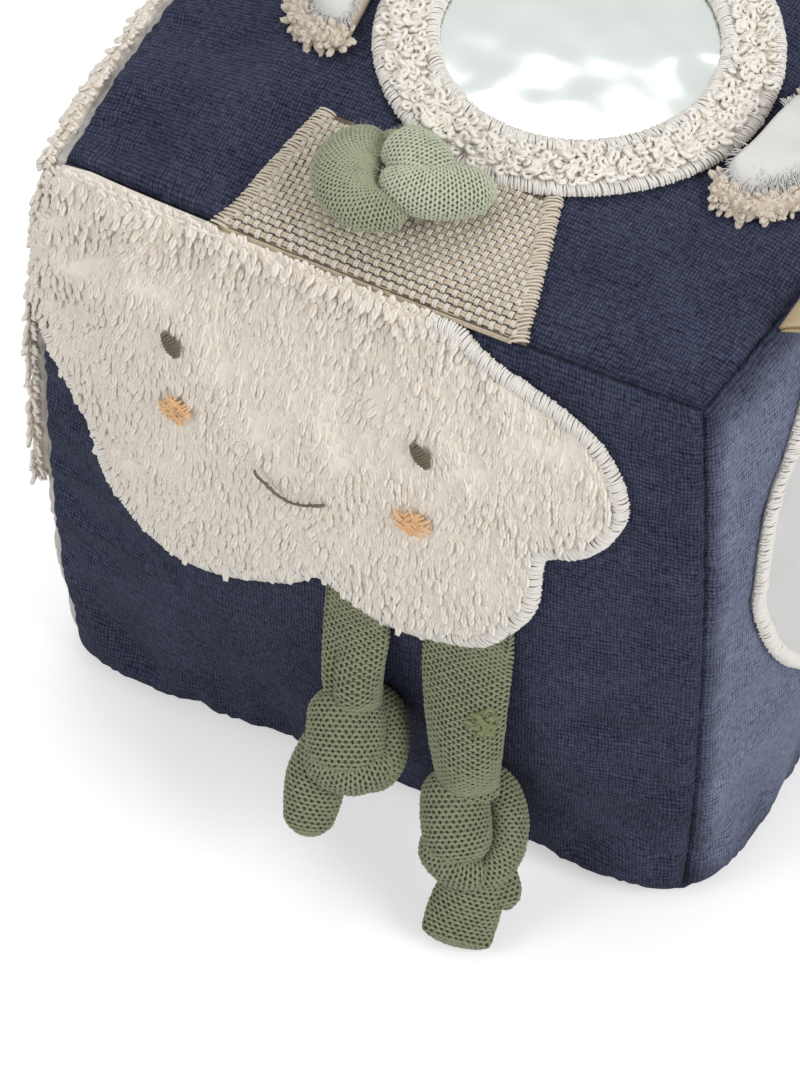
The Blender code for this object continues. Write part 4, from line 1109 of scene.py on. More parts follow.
class SoftTube:
    """A stuffed tube of cloth: oval sections along a path, drawn in along grooves, with round ends."""

    def __init__(self, path, half_widths, half_depths, grooves=(), side=(1.0, 0.0, 0.0), round_start=0.0,
                 round_end=0.0):
        spine = np.column_stack([np.array(path, float), half_widths, half_depths])
        for _ in range(4):
            spine = smoothed(spine)
        along = np.concatenate([[0.0], np.cumsum(np.linalg.norm(np.diff(spine[:, :3], axis=0), axis=1))])
        self.shares, self.spine = along / along[-1], spine
        self.runs = unit(np.gradient(spine[:, :3], axis=0))
        self.side, self.grooves = np.array(side), grooves
        self.round_start, self.round_end = round_start, round_end

    def at(self, turn, share, lift=0.0):
        """Points at turns round the tube and shares along it, lifted off its cloth."""
        spine = np.stack([np.interp(share, self.shares, column) for column in self.spine.T], axis=-1)
        run = unit(np.stack([np.interp(share, self.shares, column) for column in self.runs.T], axis=-1))
        side = unit(self.side - run * (run @ self.side)[:, None])
        front = np.cross(run, side)
        size = np.ones_like(share)
        for middle, width, start, end, dip in self.grooves:
            away = np.angle(np.exp(1j * (turn - middle))) / width
            held = 1.0 / (1.0 + np.exp(-(share - start) * GROOVE_FADE))
            held = held / (1.0 + np.exp((share - end) * GROOVE_FADE))
            size = size - dip * np.exp(-away ** 2) * held
        for reach, past in ((self.round_start, self.round_start - share),
                            (self.round_end, share - 1.0 + self.round_end)):
            if reach:
                size = size * np.sqrt(np.maximum(0.0, 1.0 - np.clip(past / reach, 0.0, 1.0) ** 2))
        across = (spine[:, 3] * size + lift * (size > 0.0)) * np.cos(turn)
        deep = (spine[:, 4] * size + lift * (size > 0.0)) * np.sin(turn)
        return spine[:, :3] + side * across[:, None] + front * deep[:, None]


def seen(centre, offsets):
    """Points from offsets in millimetres to the right, up and nearer as the photograph sees them."""
    return [centre + (SEEN_RIGHT * right + SEEN_UP * up + SEEN_BACK * near) * MM
            for right, up, near in offsets]


def outs(shape, turn, share, lift=0.0):
    """Places on a soft shape with the way out of it and the way back along it."""
    places = shape.at(turn, share, lift)
    round_way = shape.at(turn + 0.05, share, lift) - shape.at(turn - 0.05, share, lift)
    on, back = np.clip(share + RUN_STEP, 0.0, 1.0), np.clip(share - RUN_STEP, 0.0, 1.0)
    long_way = shape.at(turn, on, lift) - shape.at(turn, back, lift)
    return places, unit(np.cross(round_way, long_way)), -unit(long_way)


def knit_rows(shape, start, end, stitch, row, columns):
    """Turns and shares of every stitch on a soft shape: whole columns down a tube, or rows like bricks."""
    fine = np.linspace(start, end, LENGTH_STEPS)
    long_turns = np.arange(LONG_TURNS) / LONG_TURNS * 2.0 * math.pi
    lines = [shape.at(np.full(LENGTH_STEPS, turn), fine) for turn in long_turns]
    steps = np.max([np.linalg.norm(np.diff(line, axis=0), axis=1) for line in lines], axis=0)
    along = np.concatenate([[0.0], np.cumsum(steps)])
    rows = max(2, int(round(along[-1] / row)))
    turns, shares = [], []
    circle = np.linspace(0.0, 2.0 * math.pi, GIRTH_STEPS)
    for number, share in enumerate(np.interp((np.arange(rows) + 0.5) * along[-1] / rows, along, fine)):
        ring = shape.at(circle, np.full(GIRTH_STEPS, share))
        around = np.concatenate([[0.0], np.cumsum(np.linalg.norm(np.diff(ring, axis=0), axis=1))])
        count = columns or max(3, int(round(around[-1] / stitch)))
        shift = 0.0 if columns else 0.5 * (number % 2)
        places = (np.arange(count) + shift) * around[-1] / count
        turns.append(np.interp(places, around, circle))
        half_row = 0.5 * (end - start) / rows if columns else 0.0
        shares.append(share + np.arange(count) % 2 * half_row)
    return np.concatenate(turns), np.concatenate(shares)


def purl_recipe():
    """A purl bump: a short arc of yarn that bows up its row and out of the cloth."""
    recipe = Recipe("purl_bump")
    width = recipe.size("Stitch Width", KNIT_STITCH * 1.12)
    bend = recipe.size("Stitch Bend", KNIT_BEND)
    rise = recipe.size("Stitch Rise", KNIT_RISE)
    yarn = recipe.size("Yarn Radius", KNIT_YARN)
    arc = recipe.bow(recipe.vector(width * -0.5, bend * -0.5), recipe.vector(0.0, bend * 1.33, rise * 1.33),
                     recipe.vector(width * 0.5, bend * -0.5), 5)
    return recipe.set_out(recipe.thread(arc, yarn))


purl_bump = purl_recipe()
knit_yarn = yarn_finish("green_knit", KNIT_TIP, KNIT_MID, KNIT_ROOT_SHADE, KNIT_SHADE_DEPTH, 0.25, 0.2)
# The ground under the bumps, painted darker as shade in the gaps.
knit_shade_ground = ground_finish("green_knit_ground", KNIT_MID, KNIT_ROOT_SHADE)


def knitted(name, shape, start=0.0, end=1.0, yarn=knit_yarn, ground=knit_shade_ground, stitch=KNIT_STITCH,
            row=KNIT_ROW, columns=0, seed=5):
    """A soft shape in purl knit: a close ground under rows of yarn bumps. Returns both pieces."""
    circle = np.arange(TUBE_SIDES) / TUBE_SIDES * 2.0 * math.pi
    rims = [shape.at(circle, np.full(TUBE_SIDES, share), -KNIT_DEPTH)
            for share in np.linspace(max(start, 0.004), min(end, 0.996), TUBE_RINGS)]
    cloth = tube_mesh(name + "_cloth", np.array(rims), False, ground)
    turns, shares = knit_rows(shape, start, end, stitch, row, columns)
    places, out, along = outs(shape, turns, shares, -KNIT_DEPTH * 0.6)
    size = stitch / KNIT_STITCH
    bumps = purl_bump.made_at(name + "_stitches", places, out, along, yarn, size=size, ragged_angle=0.13,
                              size_spread=0.10, seed=seed)
    return cloth, bumps


def clear_of_front(point, half_depth):
    """Move a point forward until a thing of this half depth hangs clear of the front panel."""
    x, y, z = point
    front = on_block("front", np.array([x / SIDE_SCALE]), np.array([(z - CENTRE_HEIGHT) / UPRIGHT_SCALES[1]]))
    return np.array([x, min(y, front[0, 1] - LEG_CLEARANCE - half_depth), z])


def joint_place(name):
    """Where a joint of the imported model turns."""
    return np.array(next(joint["pos_m"] for joint in frame["joints"] if joint["name"] == name))


LEGS = {
    "left": {
        "tuck": 10.0 * MM, "step": -0.8 * MM, "columns": 34,
        "hip_half_width": 6.9 * MM, "thigh_half_width": 6.0 * MM, "shin_half_width": 5.3 * MM,
        "knot_radius": 12.2 * MM,
        "strands": {
            "front": ([(-1.4, 9.2, 2.2), (-1.8, 4.0, 3.6), (-2.0, -2.5, 3.2), (-2.2, -8.8, 1.6)],
                      (6.4, 7.6, 7.6, 6.6), (5.4, 6.2, 6.2, 5.4)),
            "side": ([(2.2, 8.8, -0.5), (6.0, 5.4, 0.0), (7.2, -1.0, 0.0), (5.6, -7.2, 0.0),
                      (1.2, -10.8, -0.5)], (3.2, 3.4, 3.6, 3.6, 3.2), (4.0, 4.4, 4.6, 4.4, 3.8)),
            "band": ([(-8.6, -1.6, 1.0), (-6.4, -6.4, 2.4), (-1.0, -8.8, 3.2), (4.2, -7.0, 2.6),
                      (6.6, -3.6, 1.2)], (3.0, 3.8, 3.9, 3.6, 2.6), (3.6, 4.2, 4.4, 4.0, 3.0)),
        },
        "foot": {
            "toe": ([(-3.6, 0.0, 0.0), (-7.4, -7.0, -2.0), (-8.8, -13.5, -4.0), (-9.8, -20.2, -6.0)],
                    (5.2, 5.9, 5.6, 4.0), (4.6, 4.8, 4.2, 2.6), 0.14),
        },
        "grooves": [(math.radians(118.0), 0.30, 0.50, 1.1, 0.26)],
    },
    "right": {
        "tuck": 17.0 * MM, "step": -0.9 * MM, "columns": 41,
        "hip_half_width": 9.5 * MM, "thigh_half_width": 8.0 * MM, "shin_half_width": 6.1 * MM,
        "knot_radius": 14.0 * MM,
        "strands": {
            "front": ([(-3.0, 9.8, 2.2), (-3.4, 4.5, 3.6), (-3.0, -2.0, 3.2), (-2.0, -9.4, 1.6)],
                      (5.8, 6.6, 6.8, 6.2), (5.4, 6.2, 6.2, 5.4)),
            "side": ([(0.4, 9.6, -0.5), (5.2, 7.0, 0.0), (7.7, 0.5, 0.0), (7.0, -6.6, 0.0), (3.4, -11.6, 0.0),
                      (-1.6, -13.2, -0.5)], (3.0, 3.5, 3.7, 3.7, 3.5, 3.0), (4.0, 4.6, 4.8, 4.6, 4.4, 3.6)),
            "band": ([(-8.4, -3.0, 0.4), (-6.6, -8.0, 1.4), (-2.0, -11.0, 2.0), (3.2, -10.6, 1.4)],
                     (2.8, 3.5, 3.6, 3.0), (3.6, 4.2, 4.4, 3.6)),
        },
        "foot": {
            "toe": ([(1.8, -7.0, -1.0), (0.4, -13.5, -3.0), (-1.6, -19.0, -5.0), (-3.4, -25.4, -7.0)],
                    (5.4, 6.4, 7.0, 6.8), (4.6, 4.6, 3.6, 2.0), 0.10),
            "heel": ([(3.6, -8.6, -1.5), (5.8, -13.0, -2.4), (7.2, -18.0, -3.2)],
                     (3.6, 3.8, 2.6), (3.0, 2.6, 1.5), 0.22),
        },
        "grooves": [(math.radians(20.0), 0.35, 0.25, 0.7, 0.10)],
    },
}
LEG_DEPTHS = np.array([0.5, 0.8, 2.2, 5.4, 5.6, 4.4]) * MM
LEG_ROOMS = (0.2 * MM, 0.4 * MM, 2.2 * MM, 5.4 * MM, 5.6 * MM)
LEG_SPLIT_SHARE = 0.55
DARN_TURN = math.radians(48.0)
DARN_SHARE = 0.57
DARN_REACH = 3.6 * MM
DARN_STITCHES = 46
# The darning's colours. The root colour is painted shade down in the stitches.
DARN_TIP = (0.25, 0.27, 0.13)
DARN_MID = (0.19, 0.21, 0.10)
DARN_ROOT_SHADE = (0.11, 0.12, 0.06)


def drop(point, down, across=0.0, forward=0.0):
    """A point moved down, to the side and forward."""
    return point + np.array([across, -forward, -down])


darn_yarn = yarn_finish("darn_thread", DARN_TIP, DARN_MID, DARN_ROOT_SHADE, KNIT_SHADE_DEPTH)
for side, made in LEGS.items():
    hip, knot = joint_place(side + "_hip"), joint_place(side + "_knot_swing")
    radius = made["knot_radius"]
    lean = unit(knot - hip)
    stations = [drop(hip, -made["tuck"], 0.0, -2.0 * MM), drop(hip, -2.0 * MM, 0.0, -1.5 * MM),
                hip + lean * 4.0 * MM, hip * 0.55 + knot * 0.45, hip * 0.25 + knot * 0.75]
    path = [clear_of_front(drop(station, 0.0, made["step"]), room)
            for station, room in zip(stations, LEG_ROOMS)] + [drop(knot, -radius * 0.45)]
    hip_width, thigh, shin = (made[key] for key in ("hip_half_width", "thigh_half_width", "shin_half_width"))
    leg = SoftTube(path, [hip_width, hip_width, hip_width, thigh, shin, shin * 0.9], LEG_DEPTHS,
                   made["grooves"])
    knit = {"stitch": KNIT_COLUMN, "row": KNIT_COLUMN_ROW, "columns": made["columns"]}
    upper = knitted(side + "_thigh", leg, 0.0, LEG_SPLIT_SHARE, **knit)
    lower = knitted(side + "_shin", leg, LEG_SPLIT_SHARE, 1.0, **knit)
    if side == "right":
        chance = np.random.default_rng(15)
        reach = np.sqrt(chance.uniform(0.0, 1.0, DARN_STITCHES)) * DARN_REACH
        angle = chance.uniform(0.0, 2.0 * math.pi, DARN_STITCHES)
        long = np.linalg.norm(knot - hip) + made["tuck"]
        places, out, along = outs(leg, DARN_TURN + np.cos(angle) * reach / made["thigh_half_width"],
                                  DARN_SHARE + np.sin(angle) * reach / long, 0.1 * MM)
        darn = purl_bump.made_at("right_thigh_darn", places, out, along, darn_yarn, size=1.05,
                                 ragged_angle=0.5, size_spread=0.3, seed=16)
        lower = (*lower, darn)
    bends = ((upper, "root", side + "_leg", drop(hip, -1.0 * MM), hip + lean * 8.0 * MM),
             (lower, side + "_leg", side + "_knot", knot - lean * radius * 1.5, knot - lean * radius * 0.6))
    for pieces, above, below, start, end in bends:
        for piece in pieces:
            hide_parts(side + "_leg")
            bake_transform(piece)
    for number, (strand, (offsets, in_sight, deep)) in enumerate(made["strands"].items()):
        shape = SoftTube(seen(knot, offsets), np.array(deep) * MM, np.array(in_sight) * MM, side=SEEN_BACK,
                         round_start=0.28, round_end=0.28)
        for piece in knitted("{}_knot_{}".format(side, strand), shape, seed=20 + number):
            put(piece, side + "_knot", "green_knit", side + "_knot")
    for number, (part, (offsets, in_sight, deep, blunt)) in enumerate(made["foot"].items()):
        path = seen(knot, offsets)
        shape = SoftTube(path, np.array(deep) * MM, np.array(in_sight) * MM, side=SEEN_BACK, round_start=0.15,
                         round_end=blunt)
        for piece in knitted("{}_foot_{}".format(side, part), shape, seed=30 + number):
            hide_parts(side + "_foot")
            side + "_knot"
            side + "_foot"
            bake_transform(piece)

# The circle.
# A white disc of smooth padded cotton on the right side, its whole edge oversewn with off-white satin stitch.
CIRCLE_PLACE_SHARES = (-0.168, 0.245)
CIRCLE_RADIUS = 50.5 * MM
CIRCLE_TOP = 2.0 * MM
CIRCLE_CROWN = 2.6 * MM
CIRCLE_BORDER_LIFT = 0.9 * MM
CIRCLE_POINTS = 180
WHITE_COTTON = (0.68, 0.68, 0.675)
WHITE_SHADE = (0.58, 0.575, 0.57)


def circle_line(middle, radius, count, scales=UPRIGHT_SCALES):
    """A circle of this real radius, as shares of a face."""
    turns = np.arange(count) / count * 2.0 * math.pi
    return np.asarray(middle) + np.stack([np.cos(turns) * radius / scales[0],
                                          np.sin(turns) * radius / scales[1]], axis=1)


def white_cotton_finish():
    """Brushed white cotton, softly puckered where the wadding below it gives."""
    finish = Finish("white_cotton")
    cloth = finish.place("UV")
    puckers = finish.noise(cloth, 70.0, 3.0, 0.55)
    nap = finish.noise(cloth, 1500.0, 3.0, 0.6)
    colour = finish.tone((puckers * 0.6 + nap * 0.4).clamped(), (0.25, WHITE_SHADE), (0.7, WHITE_COTTON))
    return finish.shade(colour, puckers * 2.2 + nap * 0.25, 0.5 * MM, 0.6, Sheen_Weight=0.3)


circle = circle_line(CIRCLE_PLACE_SHARES, CIRCLE_RADIUS - BORDER_WIDTH * 0.7, CIRCLE_POINTS)
circle_cloth = sewn_pad("circle_cloth", "right", circle, CIRCLE_PLACE_SHARES,
                        dome(CIRCLE_TOP, 0.05, crown=CIRCLE_CROWN, steps=24), white_cotton_finish(),
                        rough=0.5 * MM)
put(circle_cloth, "root", "cream_cotton", "circle_patch")
circle_edge = circle_line(CIRCLE_PLACE_SHARES, CIRCLE_RADIUS - BORDER_WIDTH / 2.0, CIRCLE_POINTS)
satin_border("circle_border", "right", circle_edge, True, lift=CIRCLE_BORDER_LIFT)

# The animal's body.
# A beige patch of basket weave on the top, caught in the front seam: pairs of white warp threads float over
# tan weft in every other place. Its two sides are overlocked with beige thread.
BODY_FRONT_SHARES = (-0.485, 0.478)
BODY_REAR_SHARES = (-0.372, 0.345)
BODY_REAR_UP_SHARE = -0.585
BODY_EDGE_SHARE = -0.998
BODY_STEPS = (60, 40)
BODY_LIFT = 1.0 * MM
BODY_GAP = 0.1 * MM
FLOAT_ACROSS = 1.26 * MM
FLOAT_RUN = 2.75 * MM
FLOAT_WIDTH = 1.04 * MM
FLOAT_LENGTH = 1.34 * MM
FLOAT_THREAD = 0.30 * MM
FLOAT_SHARES = (0.02, 0.97)
WEFT_STRETCH = (1.12, 1.12, 0.8)
HEM_RADIUS = 0.75 * MM
HEM_LIFT = 0.25 * MM
HEM_SHARES = (0.02, 0.955)
HEM_POINTS = 60
TAN = (0.60, 0.51, 0.39)
TAN_SHADE = (0.44, 0.36, 0.26)
WEAVE_GAP_SHADE = (0.07, 0.055, 0.04)
FLOAT_WHITE = (0.73, 0.70, 0.64)
FLOAT_SHADE = (0.60, 0.56, 0.49)
BEIGE = (0.70, 0.63, 0.52)
BEIGE_SHADE = (0.50, 0.42, 0.32)
OVERLOCK_WIDTH = 3.6 * MM
OVERLOCK_LIFT = 0.9 * MM
OVERLOCK_PITCH = 0.75 * MM
OVERLOCK_HEIGHT = 1.0 * MM


def body_share(across, back):
    """A place on the body patch, from shares across it and from its front seam to its rear edge."""
    up = BODY_EDGE_SHARE + (BODY_REAR_UP_SHARE - BODY_EDGE_SHARE) * back
    low = BODY_FRONT_SHARES[0] + (BODY_REAR_SHARES[0] - BODY_FRONT_SHARES[0]) * back
    high = BODY_FRONT_SHARES[1] + (BODY_REAR_SHARES[1] - BODY_FRONT_SHARES[1]) * back
    return np.stack([low + (high - low) * across, up], axis=1)


def float_recipe():
    """A float of the weave: threads side by side that rise over the weft and dive under it again."""
    recipe = Recipe("weave_float")
    width = recipe.size("Float Width", FLOAT_WIDTH)
    length = recipe.size("Float Length", FLOAT_LENGTH)
    thread = recipe.size("Thread Radius", FLOAT_THREAD)
    threads = []
    for place in (-0.5, 0.5):
        side = (width - thread * 2.0) * place
        arch = recipe.bow(recipe.vector(side, length * -0.5), recipe.vector(0.0, 0.0, thread * 2.6),
                          recipe.vector(side, length * 0.5), 4)
        threads.append(recipe.thread(arch, thread))
    joined = recipe.node("GeometryNodeJoinGeometry")
    for thread in threads:
        recipe.tree.links.new(thread, joined.inputs[0])
    return recipe.set_out(joined.outputs[0])


weave_float = float_recipe()
float_thread = thread_finish("float_thread", FLOAT_WHITE, FLOAT_SHADE)
weft_thread = thread_finish("weft_thread", TAN, TAN_SHADE)
overlock_thread = thread_finish("overlock_thread", BEIGE, BEIGE_SHADE)
# The ground under the floats, painted dark as the shade in the gaps of the weave.
basket_ground = ground_finish("basket_ground", tuple(0.5 * level for level in TAN_SHADE), WEAVE_GAP_SHADE)
hem_cloth = ground_finish("hem_cloth", TAN, TAN_SHADE)
# The bead under the overlock stitches, painted darker than the thread as shade between them.
overlock_core = ground_finish("overlock_core", BEIGE, BEIGE_SHADE)

columns, rows = BODY_STEPS
grid = np.meshgrid(np.linspace(0.0, 1.0, columns), np.linspace(0.0, 1.0, rows), indexing="ij")
body_shares = body_share(grid[0].ravel(), grid[1].ravel())
sheet = on_block("top", body_shares[:, 0], body_shares[:, 1], BODY_LIFT)
body = mesh_object("body_weave", sheet, grid_faces(columns, rows), basket_ground, body_shares * SIDE_SCALE)
put(thicken(body, BODY_LIFT - BODY_GAP), "root", "basket_weave", "body_patch")
long = (BODY_REAR_UP_SHARE - BODY_EDGE_SHARE) * SIDE_SCALE
wide = (BODY_FRONT_SHARES[1] - BODY_FRONT_SHARES[0]) * SIDE_SCALE
low = np.array([BODY_FRONT_SHARES[0], BODY_EDGE_SHARE])
for kind, finish, half, stretch in (("warp", float_thread, 0.0, 1.0),
                                    ("weft", weft_thread, 0.5, [WEFT_STRETCH])):
    across = np.arange(0.0, wide, FLOAT_ACROSS)
    runs = np.arange(FLOAT_RUN * -0.65, long + FLOAT_RUN * 0.5, FLOAT_RUN)
    a, b = np.meshgrid(across, runs, indexing="ij")
    b = b + ((np.arange(len(across)) % 2)[:, None] * 0.5 + half) * FLOAT_RUN
    shares = low + np.stack([a.ravel(), b.ravel()], axis=1) / SIDE_SCALE
    back = (shares[:, 1] - BODY_EDGE_SHARE) / (BODY_REAR_UP_SHARE - BODY_EDGE_SHARE)
    edges = [body_share(np.full(len(back), side), back)[:, 0] for side in (0.0, 1.0)]
    margin = OVERLOCK_WIDTH * 0.6 / SIDE_SCALE
    on_cloth = (back > FLOAT_SHARES[0]) & (back < FLOAT_SHARES[1])
    shares = shares[(shares[:, 0] > edges[0] + margin) & (shares[:, 0] < edges[1] - margin) & on_cloth]
    way = np.tile((0.0, 1.0) if kind == "warp" else (1.0, 0.0), (len(shares), 1))
    places, out, along = frames_on("top", shares, way, BODY_LIFT)
    floats = weave_float.made_at("body_" + kind, places, out, along, finish, size=stretch, ragged_angle=0.06,
                                 size_spread=0.06, seed=9)
    put(floats, "root", "basket_weave")
hem = body_share(np.linspace(*HEM_SHARES, HEM_POINTS), np.full(HEM_POINTS, 0.004))
put(bead("body_hem", "top", hem, HEM_LIFT, HEM_RADIUS * 1.25, HEM_RADIUS, hem_cloth), "root", "basket_weave")
for side, across in (("left", 0.0), ("right", 1.0)):
    inward = OVERLOCK_WIDTH * 0.45 / SIDE_SCALE * (1.0 if side == "left" else -1.0)
    edge = body_share(np.full(20, across), np.linspace(0.0, 1.0, 20)) + [inward, 0.0]
    satin_border("body_border_" + side, "top", edge, slot="overlock_thread", lift=OVERLOCK_LIFT,
                 finish=overlock_thread, core=overlock_core, ragged=0.16, width=OVERLOCK_WIDTH,
                 pitch=OVERLOCK_PITCH, height=OVERLOCK_HEIGHT)

# The head.
# A ring of looser, curly terry that holds a pale foil mirror. Both its edges are oversewn with satin stitch,
# the inner one over the foil.
HEAD_PLACE_SHARES = (0.125, -0.068)
HEAD_RADIUS = 40.0 * MM
HEAD_HOLE_RADIUS = 27.0 * MM
MIRROR_RADIUS = 31.6 * MM
MIRROR_LIFT = 1.3 * MM
HEAD_TOP = 3.0 * MM
OUTER_BORDER_LIFT = 1.2 * MM
INNER_BORDER_LIFT = 2.0 * MM
HEAD_LOOPS = 1500
HEAD_POINTS = 160
TOP_SCALES = (SIDE_SCALE, SIDE_SCALE)
MIRROR_COLOUR = (0.74, 0.78, 0.75)
MIRROR_SHADE = (0.66, 0.70, 0.67)
# The curly terry's colours. The root colour is painted shade, down in the pile and on its ground.
CURL_TIP = (0.93, 0.89, 0.83)
CURL_MID = (0.92, 0.88, 0.81)
CURL_ROOT_SHADE = (0.85, 0.75, 0.62)
CURL_YARN = 0.44 * MM
CURL_LENGTH = 2.7 * MM
CURL_WIDTH = 2.1 * MM


def foil_finish():
    """Mirror foil, drawn a little uneven by the stitches round it."""
    finish = Finish("mirror_foil")
    cloth = finish.place("UV")
    slack = finish.noise(cloth, 55.0, 2.0, 0.5)
    colour = finish.tone(slack, (0.2, MIRROR_SHADE), (0.8, MIRROR_COLOUR))
    return finish.shade(colour, slack, 0.6 * MM, 0.5, Metallic=0.9, Roughness=0.16)


curl_yarn = yarn_finish("curly_terry", CURL_TIP, CURL_MID, CURL_ROOT_SHADE, 1.8 * MM)
# The ring's ground between the curls, painted darker as shade.
curl_shade_ground = ground_finish("curly_ground", CURL_MID, CURL_ROOT_SHADE)
disc = circle_line(HEAD_PLACE_SHARES, MIRROR_RADIUS, HEAD_POINTS, TOP_SCALES)
foil = sewn_pad("mirror_foil", "top", disc, HEAD_PLACE_SHARES, dome(MIRROR_LIFT, 0.03, steps=24),
                foil_finish(), rough=0.25 * MM)
put(foil, "root", "mirror_foil", "mirror")
section = [(HEAD_RADIUS - 1.2 * MM, 0.4 * MM), (HEAD_RADIUS - 1.4 * MM, 1.6 * MM),
           (HEAD_RADIUS - 3.0 * MM, 2.3 * MM), (HEAD_RADIUS - 6.5 * MM, HEAD_TOP * 0.9),
           (HEAD_HOLE_RADIUS + 3.0 * MM, 2.4 * MM), (HEAD_HOLE_RADIUS + 1.4 * MM, 1.9 * MM),
           (HEAD_HOLE_RADIUS + 1.2 * MM, 1.5 * MM)]
rims = [on_block("top", *circle_line(HEAD_PLACE_SHARES, radius, HEAD_POINTS, TOP_SCALES).T, lift)
        for radius, lift in section]
put(tube_mesh("head_ground", np.stack(rims, axis=1), True, curl_shade_ground), "root", "terry", "head_ring")


def scattered(inner, outer, count, seed):
    """Evenly scattered places in a ring, with ways that turn at random."""
    chance = np.random.default_rng(seed)
    turns = np.arange(count) * math.pi * (3.0 - math.sqrt(5.0)) + chance.uniform(-0.03, 0.03, count)
    reach = np.sqrt(inner ** 2 + (outer ** 2 - inner ** 2) * (np.arange(count) + 0.5) / count)
    ways = chance.uniform(0.0, 2.0 * math.pi, count)
    places = np.stack([np.cos(turns) * reach, np.sin(turns) * reach], axis=1)
    return places, np.stack([np.cos(ways), np.sin(ways)], axis=1)


spots, ways = scattered(HEAD_HOLE_RADIUS + BORDER_WIDTH * 0.9, HEAD_RADIUS - BORDER_WIDTH * 0.9,
                        HEAD_LOOPS, 31)
spots = np.asarray(HEAD_PLACE_SHARES) + spots / SIDE_SCALE
places, out, along = frames_on("top", spots, ways, HEAD_TOP * 0.85)
curls = terry_loop.made_at("head_loops", places, out, along, curl_yarn, ragged_angle=0.5, size_spread=0.25,
                           loop_length=CURL_LENGTH, loop_width=CURL_WIDTH, yarn_radius=CURL_YARN, lean=0.42,
                           seed=32)
put(curls, "root", "terry")
head_edges = {"head_outer_border": (HEAD_RADIUS - BORDER_WIDTH / 2.0, OUTER_BORDER_LIFT),
              "head_inner_border": (HEAD_HOLE_RADIUS + BORDER_WIDTH / 2.0, INNER_BORDER_LIFT)}
for name, (radius, lift) in head_edges.items():
    edge = circle_line(HEAD_PLACE_SHARES, radius, HEAD_POINTS, TOP_SCALES)
    satin_border(name, "top", edge, True, lift=lift)

# The ears.
# Two flat terry ears sewn under the ring's edge. Each has a long white pile on its inner part.
EAR_HALF_LENGTH = 18.5 * MM
EAR_HALF_WIDTH = 12.5 * MM
EAR_TURN = math.radians(7.0)
EAR_STEP_OUT = 6.0 * MM
EAR_INSET = 4.6 * MM
EAR_BOTTOM = 0.7 * MM
EAR_TOP = 4.0 * MM
EAR_CUT = 1.75 * MM
EAR_SEAM = EAR_CUT + LAYER_GAP - EAR_STEP_OUT
EAR_POINTS = 72
EAR_LOOPS = 1900
PLUSH_LENGTH = 0.6 * MM
PLUSH_SEAT = EAR_TOP - 0.5 * MM
PLUSH_BED = 4.4 * MM
PLUSH_LEAN = 2.4 * MM
PLUSH_STRAND = 0.26 * MM
PLUSH_STRANDS = 2600
PLUSH_FRINGE_SHARE = 0.62
# The long pile's colours, a little darker at the roots as painted shade.
PLUSH_TIP = (0.73, 0.725, 0.71)
PLUSH_ROOT_SHADE = (0.70, 0.69, 0.67)
# The ear terry's colours. The root colour is painted shade, down in the pile and on its ground.
EAR_TIP = (0.76, 0.70, 0.61)
EAR_MID = (0.68, 0.60, 0.50)
EAR_ROOT_SHADE = (0.52, 0.42, 0.31)


def strand_recipe():
    """A strand of long pile: a thin tuft that bends over towards its tip."""
    recipe = Recipe("plush_strand")
    length = recipe.size("Strand Length", PLUSH_LENGTH)
    lean = recipe.size("Strand Lean", PLUSH_LEAN)
    root = recipe.size("Strand Radius", PLUSH_STRAND)
    curve = recipe.bow(recipe.vector(0.0, 0.0, 0.0), recipe.vector(0.0, 0.0, length * 0.6),
                       recipe.vector(0.0, lean, length), 5)
    share = recipe.node("GeometryNodeSplineParameter").outputs["Factor"]
    thin = Amount(recipe, share) * -0.85 + 1.0
    tapered = recipe.node("GeometryNodeSetCurveRadius", inputs={"Curve": curve, "Radius": thin}).outputs[0]
    swept = recipe.node("GeometryNodeCurveToMesh", inputs={
        "Curve": tapered, "Profile Curve": recipe.circle(3, root), "Scale": thin,
        "Fill Caps": True}).outputs[0]
    return recipe.set_out(swept)


